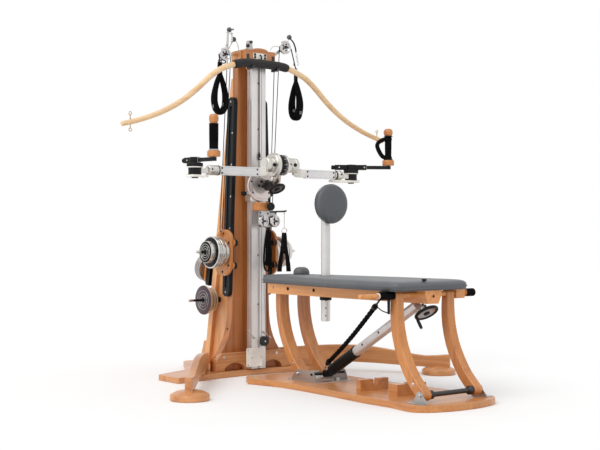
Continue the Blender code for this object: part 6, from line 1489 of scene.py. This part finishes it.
def puffed(bm, name, voxel, cap, mat, body):
    """Upholstery: a closed form blown up a little as cloth, held within cap of where it started."""
    bmesh.ops.recalc_face_normals(bm, faces=bm.faces)
    mesh = bpy.data.meshes.new(name)
    bm.to_mesh(mesh)
    bm.free()
    made = bpy.data.objects.new(name, mesh)
    bpy.context.scene.collection.objects.link(made)
    step = made.modifiers.new("even", "REMESH")
    step.mode = "VOXEL"
    step.voxel_size = voxel
    graph = bpy.context.evaluated_depsgraph_get()
    even = bpy.data.meshes.new_from_object(made.evaluated_get(graph))
    made.modifiers.clear()
    made.data = even
    start = [v.co.copy() for v in even.vertices]
    cloth = made.modifiers.new("cloth", "CLOTH")
    cloth.settings.use_pressure = True
    cloth.settings.uniform_pressure_force = 4.0
    cloth.settings.tension_stiffness = 40.0
    cloth.settings.bending_stiffness = 4.0
    cloth.settings.effector_weights.gravity = 0.0
    cloth.point_cache.frame_start = 1
    cloth.point_cache.frame_end = CLOTH_FRAMES
    for frame_number in range(1, CLOTH_FRAMES + 1):
        bpy.context.scene.frame_set(frame_number)
    graph = bpy.context.evaluated_depsgraph_get()
    grown = bpy.data.meshes.new_from_object(made.evaluated_get(graph))
    made.modifiers.clear()
    made.data = grown
    for vertex, first in zip(grown.vertices, start):
        moved = vertex.co - first
        if moved.length > cap:
            vertex.co = first + moved * (cap / moved.length)
    bpy.context.scene.frame_set(1)
    step = made.modifiers.new("soft", "SUBSURF")
    step.levels = 1
    step.render_levels = 1
    made.data.materials.clear()
    made.data.materials.append(mat)
    made.data.shade_smooth()
    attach(made, body)
    return made


def pad_half(x):
    """Half width of the pad before its round corners."""
    t = min(1.0, max(0.0, (x - 0.43) / 1.05))
    return 0.17 + 0.11 * (t * t * (3 - 2 * t))


def pad_outline(inset):
    """Plan of the pad: narrow at the tower end, wide at the far end, with round corners."""
    x0, x1, r = 0.43 + inset, 1.812 - inset, 0.045
    steps = 44
    half = []
    for i in range(9):
        a = math.radians(180 - 90 * i / 8)
        half.append((x0 + r + r * math.cos(a), pad_half(x0 + r) - inset - r + r * math.sin(a)))
    for i in range(1, steps):
        x = x0 + r + (x1 - x0 - 2 * r) * i / steps
        half.append((x, pad_half(x) - inset))
    for i in range(9):
        a = math.radians(90 - 90 * i / 8)
        half.append((x1 - r + r * math.cos(a), pad_half(x1) - inset - r + r * math.sin(a)))
    return half + [(x, -y) for x, y in reversed(half)]


def loft(bm, levels):
    skin(bm, [[bm.verts.new((x, y, z)) for x, y in outline] for outline, z in levels])


def bench_pads():
    """Long pad, small saddle cushion, their seams and the collar round the post."""
    z0, t = 0.6132, 0.05
    side = [(0.01, 0), (0.005, 0.04), (0.0025, 0.14), (0.002, 0.3), (0.002, 0.52), (0.004, 0.7), (0.008, 0.82),
        (0.015, 0.905), (0.026, 0.955), (0.042, 0.985), (0.07, 1)]
    bm = bmesh.new()
    loft(bm, [(pad_outline(inset), z0 + t * up) for inset, up in side])
    stands_for(puffed(bm, "long_pad", 0.008, 0.003, VINYL, "bench_top"), "bench_pad")
    bm = bmesh.new()
    levels = []
    for inset, up in ((0.004, -0.01), (0.001, 0.004), (0, 0.014), (0.002, 0.026), (0.008, 0.037),
            (0.017, 0.044), (0.028, 0.048)):
        levels.append((rounded(0.601 + inset, 0.685 - inset, -0.05 + inset, 0.05 - inset,
            max(0.006, 0.036 - inset * 0.6), 8), 0.665 + up))
    loft(bm, levels)
    puffed(bm, "saddle_cushion", 0.004, 0.0018, VINYL, "bench_top")
    bm = bmesh.new()
    edge = [Vector((x, y, z0 + t * 0.36)) for x, y in pad_outline(0.0006)]
    tube(bm, edge, 0.0016, 8, closed=True)
    low = [Vector((x, y, z0 + t * 0.02)) for x, y in pad_outline(0.004)]
    tube(bm, low, 0.002, 8, closed=True)
    ring = [Vector((x, y, 0.6665)) for x, y in rounded(0.6005, 0.6855, -0.0505, 0.0505, 0.036, 8)]
    tube(bm, ring, 0.0018, 8, closed=True)
    piece("pad_piping", bm, VINYL_DARK, "bench_top", "grey_pad")
    bm = bmesh.new()
    points = [Vector((1.716, y, z0 + t + 0.0022 - 0.0045 * max(0.0, abs(y) - 0.215) / 0.05))
        for y in [-0.262 + 0.524 * i / 40 for i in range(41)]]
    seam(bm, points, 0.0011, 0.005)
    piece("pad_cross_stitches", bm, VINYL_DARK, "bench_top", "grey_pad")
    cut("pad_board", pad_outline(0.018), "XY", 0.6112, 0.614, plastic("pad_board_cloth", srgb(40, 40, 42), 0.7),
        "bench_top", "black")
    turned("post_grommet", mm((29, 0), (40, 0), (40, 2.6), (37, 4.4), (31, 5), (29, 4.5)), Z, (0.88, 0, 0.6625),
        48, BLACK, "bench_top", "black", closed=True)
    turned("pad_top_knob", mm((0, 0), (10, 0), (10, 3), (14, 5), (14.5, 9), (12, 12.5), (0, 13.5)), Z,
        (1.792, -0.062, 0.6625), 28, BLACK, "bench_top", "black")


bench_pads()


PAD_Z = 1.098
POST_X = 0.88


def head_rest():
    """Round pad on its board, and the bracket that holds it on the post."""
    r, t = 0.1165, 0.05
    x0 = 0.9145
    bm = bmesh.new()
    lathe(bm, [(0, 0), (r * 0.92, 0), (r * 0.975, t * 0.05), (r, t * 0.18), (r, t * 0.45),
        (r * 0.985, t * 0.64), (r * 0.94, t * 0.8), (r * 0.85, t * 0.9), (r * 0.68, t * 0.965),
        (r * 0.4, t * 0.995), (0, t)], X, (x0, 0, PAD_Z), 96)
    stands_for(puffed(bm, "round_pad", 0.004, 0.002, vinyl("dark_upholstery", srgb(76, 79, 83)),
        "head_rest"), "head_pad")
    bm = bmesh.new()
    for dx, radius in ((0.0215, 0.1174), (0.0035, 0.1155)):
        ring = [(x0 + dx, radius * math.cos(a), PAD_Z + radius * math.sin(a)) for a in around(96)]
        tube(bm, ring, 0.0016, 8, closed=True)
    piece("round_pad_piping", bm, VINYL_DARK, "head_rest", "grey_pad")
    turned("round_pad_board", mm((0, 0), (108, 0), (108, 4.8), (0, 4.8)), X, (0.9098, 0, PAD_Z), 72, BLACK,
        "head_rest", "black")
    bm = bmesh.new()
    profile = [(0, 0.392), (0.0262, 0.392), (0.0278, 0.394), (0.0278, 1.178), (0.0272, 1.18), (0, 1.18)]
    lathe(bm, profile, Z, (POST_X, 0, 0), 56)
    prism(bm, rounded(-0.03, 0.03, 1.058, 1.138, 0.006), "YZ", 0.904, 0.9125)
    stands_for(piece("post_tube", bm, metal("post_silver", srgb(222, 220, 218), 0.3, "Z", 0.6), "head_rest",
        "aluminium", bevel=0.0008), "head_post")
    turned("post_cap", mm((0, 0), (28.2, 0), (29, 1), (29, 6), (24, 8.5), (0, 9)), Z, (POST_X, 0, 1.177), 56,
        BLACK, "head_rest", "black")
    # Dark discs where the post's holes are: painted shade inside the holes.
    bm = bmesh.new()
    for z in (0.426, 0.472, 0.518, 0.564):
        for way in (-1, 1):
            aim = Vector((0.788, -0.616, 0)) * way
            lathe(bm, mm((0, 0), (4.6, 0), (4.6, 0.8), (0, 0.8)), aim, Vector((POST_X, 0, z)) + aim * 0.0274,
                16)
    piece("post_holes", bm, DARK_STEEL, "head_rest", "aluminium")
    screws("round_pad_screws", [((0.904, y, z), -X) for y in (-0.022, 0.022) for z in (1.068, 1.128)],
        "head_rest", radius=0.004, height=0.003)
    turned("post_collar", mm((29, 0), (35, 0), (36.2, 1.5), (36.2, 28), (35, 29.5), (29, 29.5)), Z,
        (POST_X, 0, 0.5185), 48, BLACK, "bench_top", "black", closed=True, bevel=0.001)


head_rest()


# Bench: frame, legs, brackets and strut

def bench_frame():
    """Frame woods, the dowel with its sleeves, bolts, end block plates and the hanging plate."""
    paint = Paint("frame_wood_painted_light", 0.36, coat=0.25)
    # Lighter than the legs' pale wood: painted light on the frame rails under the pad's overhang.
    tone, height = wood_tone(paint, srgb(228, 158, 92), srgb(200, 128, 66), "X")
    low = paint.math("LESS_THAN", paint.axis("Z"), 0.608)
    ends = paint.math("MULTIPLY", low, paint.math("GREATER_THAN", paint.axis("Y"), 0.3195))
    paint.colour(paint.mix(ends, tone, JET))
    paint.bump(height, 0.0006, 0.35)
    dress("bench_frame", paint.mat)
    x, z = 1.72, 0.588
    bm = bmesh.new()
    for a, b in ((-0.3245, -0.2225), (0.3205, 0.3905)):
        profile = mm((16.5, 0), (20.8, 0), (22.2, 1.5))
        count = 18
        for i in range(1, count):
            profile.append((0.0222 + 0.0003 * math.cos(i * math.pi), 0.0015 + (b - a - 0.003) * i / count))
        profile += [(0.0222, b - a - 0.0015), (0.0208, b - a), (0.0165, b - a)]
        lathe(bm, profile, Y, (x, a, z), 40, closed=True)
    made = piece("dowel_sleeves", bm, FOAM, "bench_top", "black", smooth=50)
    turned("dowel_ring", mm((16.5, 0), (21.5, 0), (22, 1), (22, 4.5), (16.5, 4.5)), Y, (x, 0.316, z), 36,
        PALE_Y, "bench_top", "wood_light", closed=True)
    turned("dowel_ferrule", mm((12.7, 0), (16.5, 0), (17.2, -1), (17.2, -8), (16, -9.5), (12.7, -9.5)), Y,
        (x, -0.3246, z), 36, CAST_SILVER, "bench_top", "steel", closed=True)
    spots = [((bolt_x, side * (frame_edge(bolt_x) + 0.0002), 0.585), Y * side) for side in (-1, 1)
        for bolt_x in (0.706, 0.958)]
    screws("frame_bolts", spots, "bench_top", mat=BLACK, radius=0.0075, height=0.004)
    bm = bmesh.new()
    for sign in (-1, 1):
        near, far = sorted((sign * 0.138, sign * 0.11))
        block(bm, (0.488, near, 0.5515), (0.4995, far, 0.605))
    piece("frame_end_plates", bm, STEEL, "bench_top", "steel", bevel=0.001)
    screws("end_block_bolts", [((1.8002, 0, 0.58), X)], "bench_top", mat=BLACK, radius=0.005, height=0.003)
    bm = bmesh.new()
    prism(bm, [(1.691, 0.576), (1.709, 0.576), (1.707, 0.488), (1.693, 0.488)], "XZ", -0.239, -0.233)
    strip(bm, curve_through([(1.716, -0.312, 0.57), (1.69, -0.3, 0.556), (1.634, -0.266, 0.537)], 5), 0.017,
        0.006, (0.3, 0.1, 1))
    tube(bm, curve_through([(1.632, -0.262, 0.528), (1.662, -0.252, 0.506), (1.7, -0.238, 0.493)], 5), 0.0032,
        10)
    piece("cord_hanger", bm, BLACK, "bench_top", "black")
    bm = bmesh.new()
    block(bm, (1.69, -0.29, 0.61), (1.75, -0.232, 0.616))
    piece("dowel_saddle", bm, BLACK, "bench_top", "black", bevel=0.001)
    screws("side_block_bolt", [((1.72, 0.2922, 0.575), Y)], "bench_top", mat=CHROME, radius=0.006, height=0.004)
    bm = bmesh.new()
    rod(bm, (1.745, 0, 0.5), (1.7265, 0, 0.5262), 0.012, 24)
    piece("jack_bearing", bm, STEEL, "bench_top", "steel")


def frame_edge(x):
    share = (x - 0.5) / 1.16
    return 0.138 + (0.1445 - 0.138) * share + 0.015


def legs():
    """Leg woods with their bolts, and the axles' caps."""
    for name, foot_x, y, thick in (("rear", 0.765, 0.084, 0.07), ("front", 1.925, 0.192, 0.057)):
        body = name + "_legs"
        paint = Paint(name + "_leg_wood", 0.36, coat=0.25)
        tone, height = wood_tone(paint, PALE, PALE_DARK, "Z")
        inner = y - thick / 2 - 0.0008
        across = paint.math("ABSOLUTE", paint.axis("Y"), 0.0)
        outside = paint.math("GREATER_THAN", across, y + thick / 2 + 0.0004)
        metal_part = paint.math("MAXIMUM", paint.math("LESS_THAN", across, inner), outside)
        tone = paint.mix(metal_part, tone, srgb(176, 174, 172))
        shine = metal_part
        if name == "front":
            tone = paint.mix(paint.math("LESS_THAN", across, inner), tone, JET)
            shine = outside
        paint.colour(tone)
        paint.metallic(paint.math("MULTIPLY", shine, 0.85))
        paint.bump(height, 0.0006, 0.35)
        dress(name + "_leg_pair", paint.mat)
        face = y + thick / 2
        spots = [((foot_x - 0.055, side * face, 0.13), Y * side) for side in (-1, 1)]
        screws(name + "_leg_bolts", spots, body, mat=CHROME, radius=0.007, height=0.004)
        spots = []
        for side in (-1, 1):
            spots += [((foot_x, side * (face + 0.0085), 0.075), Y * side),
                ((foot_x - 0.205, side * (face + 0.0005), 0.588), Y * side)]
        screws(name + "_axle_caps", spots, body, mat=CHROME, radius=0.0085, height=0.006)


def brackets():
    """Two black knobs and two small blocks on the bench's floor plate."""
    floor_top = 0.0362
    bm = bmesh.new()
    lathe(bm, mm((0, 0), (14, 0), (14, 4), (22, 8), (22, 18), (18, 22), (0, 22.5)), Z,
        (0.655, 0.144, floor_top), 28)
    lathe(bm, mm((0, 0), (20, 0), (26, 4), (26, 12), (20, 16), (0, 16.5)), Z, (0.692, 0.262, floor_top), 28)
    piece("bench_floor_knobs", bm, BLACK, "tower", "black")
    bm = bmesh.new()
    block(bm, (0.575, 0.215, floor_top), (0.605, 0.245, 0.05))
    block(bm, (0.922, 0.03, floor_top), (0.946, 0.056, 0.056))
    piece("bench_floor_blocks", bm, STEEL, "tower", "steel", bevel=0.0015)


def strut():
    """Collar, ribs and bolts of the strut's tubes, and the twisted cord with its ends and hook."""
    foot_at = Vector((0.9, 0, 0.08))
    top = Vector((1.665, 0, 0.52))
    axis = (top - foot_at).normalized()
    turned("strut_collar", mm((29.2, 0), (33.5, 0), (35, 1.5), (35, 16.5), (33.5, 18), (29.2, 18)), axis,
        foot_at + axis * 0.284, 48, BLACK, "strut_foot", "black", closed=True)
    bm = bmesh.new()
    for i in range(7):
        lathe(bm, mm((33, 0), (34, 0.6), (34, 4), (33, 4.6)), axis, foot_at + axis * (0.085 + 0.028 * i), 48,
            closed=True)
    piece("strut_ribs", bm, BLACK, "strut_foot", "black")
    screws("strut_buttons", [(foot_at + axis * d - Y * 0.0286, -Y) for d in (0.4, 0.56, 0.72)], "strut_head",
        radius=0.0045, height=0.003)
    screws("strut_foot_bolts", [(foot_at + axis * 0.062 - Y * 0.0188, -Y)], "strut_foot", radius=0.006,
        height=0.004)
    a = Vector((0.968, -0.06, 0.148))
    b = Vector((1.628, -0.262, 0.532))
    spots = [a.lerp(b, t) + Vector((0, 0, -sag)) for t, sag in ((0, 0), (0.12, 0.004), (0.28, 0.01),
        (0.45, 0.013), (0.62, 0.012), (0.8, 0.007), (1, 0))]
    made = laid_rope("twisted_cord", curve_through(spots, 6), 0.014, None, FOAM, lay=0.075, strands=2, sides=16,
        groove=0.26)
    stands_for(made, "tension_cord")
    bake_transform(made)
    bm = bmesh.new()
    for t in (0.03, 0.97):
        p = a.lerp(b, t)
        ahead = (b - a).normalized()
        lathe(bm, mm((0, 0), (14.5, 0), (16.5, 3), (16.5, 21), (14.5, 24), (0, 24)), ahead, p - ahead * 0.01,
            24)
    made = piece("cord_ends", bm, BLACK, None, "black")
    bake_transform(made)
    bm = bmesh.new()
    tube(bm, curve_through([a + Vector((0.004, -0.002, 0.004)), a + Vector((-0.018, 0.006, -0.018)),
        a + Vector((-0.04, 0.016, -0.03)), a + Vector((-0.05, 0.022, -0.042))], 5), 0.0032, 10)
    piece("cord_hook", bm, CHROME, "strut_foot", "chrome")


bench_frame()
legs()
brackets()
strut()


# Room, lamps and camera

def floor():
    """Plain white ground."""
    paint = Paint("studio_floor", 0.9)
    grain = paint.noise((3.0, 3.0, 3.0), 2.0)
    paint.colour(paint.mix(grain, (0.93, 0.93, 0.93, 1.0), (0.95, 0.95, 0.95, 1.0)))
    bm = bmesh.new()
    prism(bm, [(-30, -30), (30, -30), (30, 30), (-30, 30)], "XY", -0.02, -0.0005)
    mesh = bpy.data.meshes.new("floor")
    bm.to_mesh(mesh)
    bm.free()
    mesh.materials.append(paint.mat)
    made = bpy.data.objects.new("floor", mesh)
    bpy.context.scene.collection.objects.link(made)


def world():
    """White behind the object, and a softer white light on it."""
    made = bpy.data.worlds.new("studio")
    bpy.context.scene.world = made
    made.use_nodes = True
    tree = made.node_tree
    tree.nodes.clear()
    rays = tree.nodes.new("ShaderNodeLightPath")
    seen = rays.outputs["Is Camera Ray"]
    for key in ("Is Glossy Ray", "Is Transmission Ray"):
        node = tree.nodes.new("ShaderNodeMath")
        node.operation = "MAXIMUM"
        tree.links.new(seen, node.inputs[0])
        tree.links.new(rays.outputs[key], node.inputs[1])
        seen = node.outputs[0]
    blend = tree.nodes.new("ShaderNodeMixShader")
    output = tree.nodes.new("ShaderNodeOutputWorld")
    tree.links.new(seen, blend.inputs[0])
    for socket, strength in ((1, 0.72), (2, 1.0)):
        light = tree.nodes.new("ShaderNodeBackground")
        light.inputs["Color"].default_value = (1.0, 1.0, 1.0, 1.0)
        light.inputs["Strength"].default_value = strength
        tree.links.new(light.outputs[0], blend.inputs[socket])
    tree.links.new(blend.outputs[0], output.inputs[0])


def sun():
    """Wide soft light from the left front."""
    light = bpy.data.lights.new("key", "SUN")
    light.energy = 1.5
    light.angle = math.radians(50)
    made = bpy.data.objects.new("key", light)
    made.rotation_euler = Vector((-0.15, 0.62, -0.77)).to_track_quat("-Z", "Y").to_euler()
    bpy.context.scene.collection.objects.link(made)


def camera():
    lens = bpy.data.cameras.new("camera")
    lens.lens = 69.0
    lens.sensor_width = 36.0
    lens.clip_end = 100.0
    made = bpy.data.objects.new("camera", lens)
    ahead = Vector((-0.788, 0.616, 0.0087)).normalized()
    right = ahead.cross(Z).normalized()
    up = right.cross(ahead)
    turn = Matrix((right, up, -ahead)).transposed().to_4x4()
    made.matrix_world = Matrix.Translation((6.252, -4.396, 0.911)) @ turn
    bpy.context.scene.collection.objects.link(made)
    bpy.context.scene.camera = made


floor()
world()
sun()
camera()
bpy.context.scene.view_settings.view_transform = "Standard"
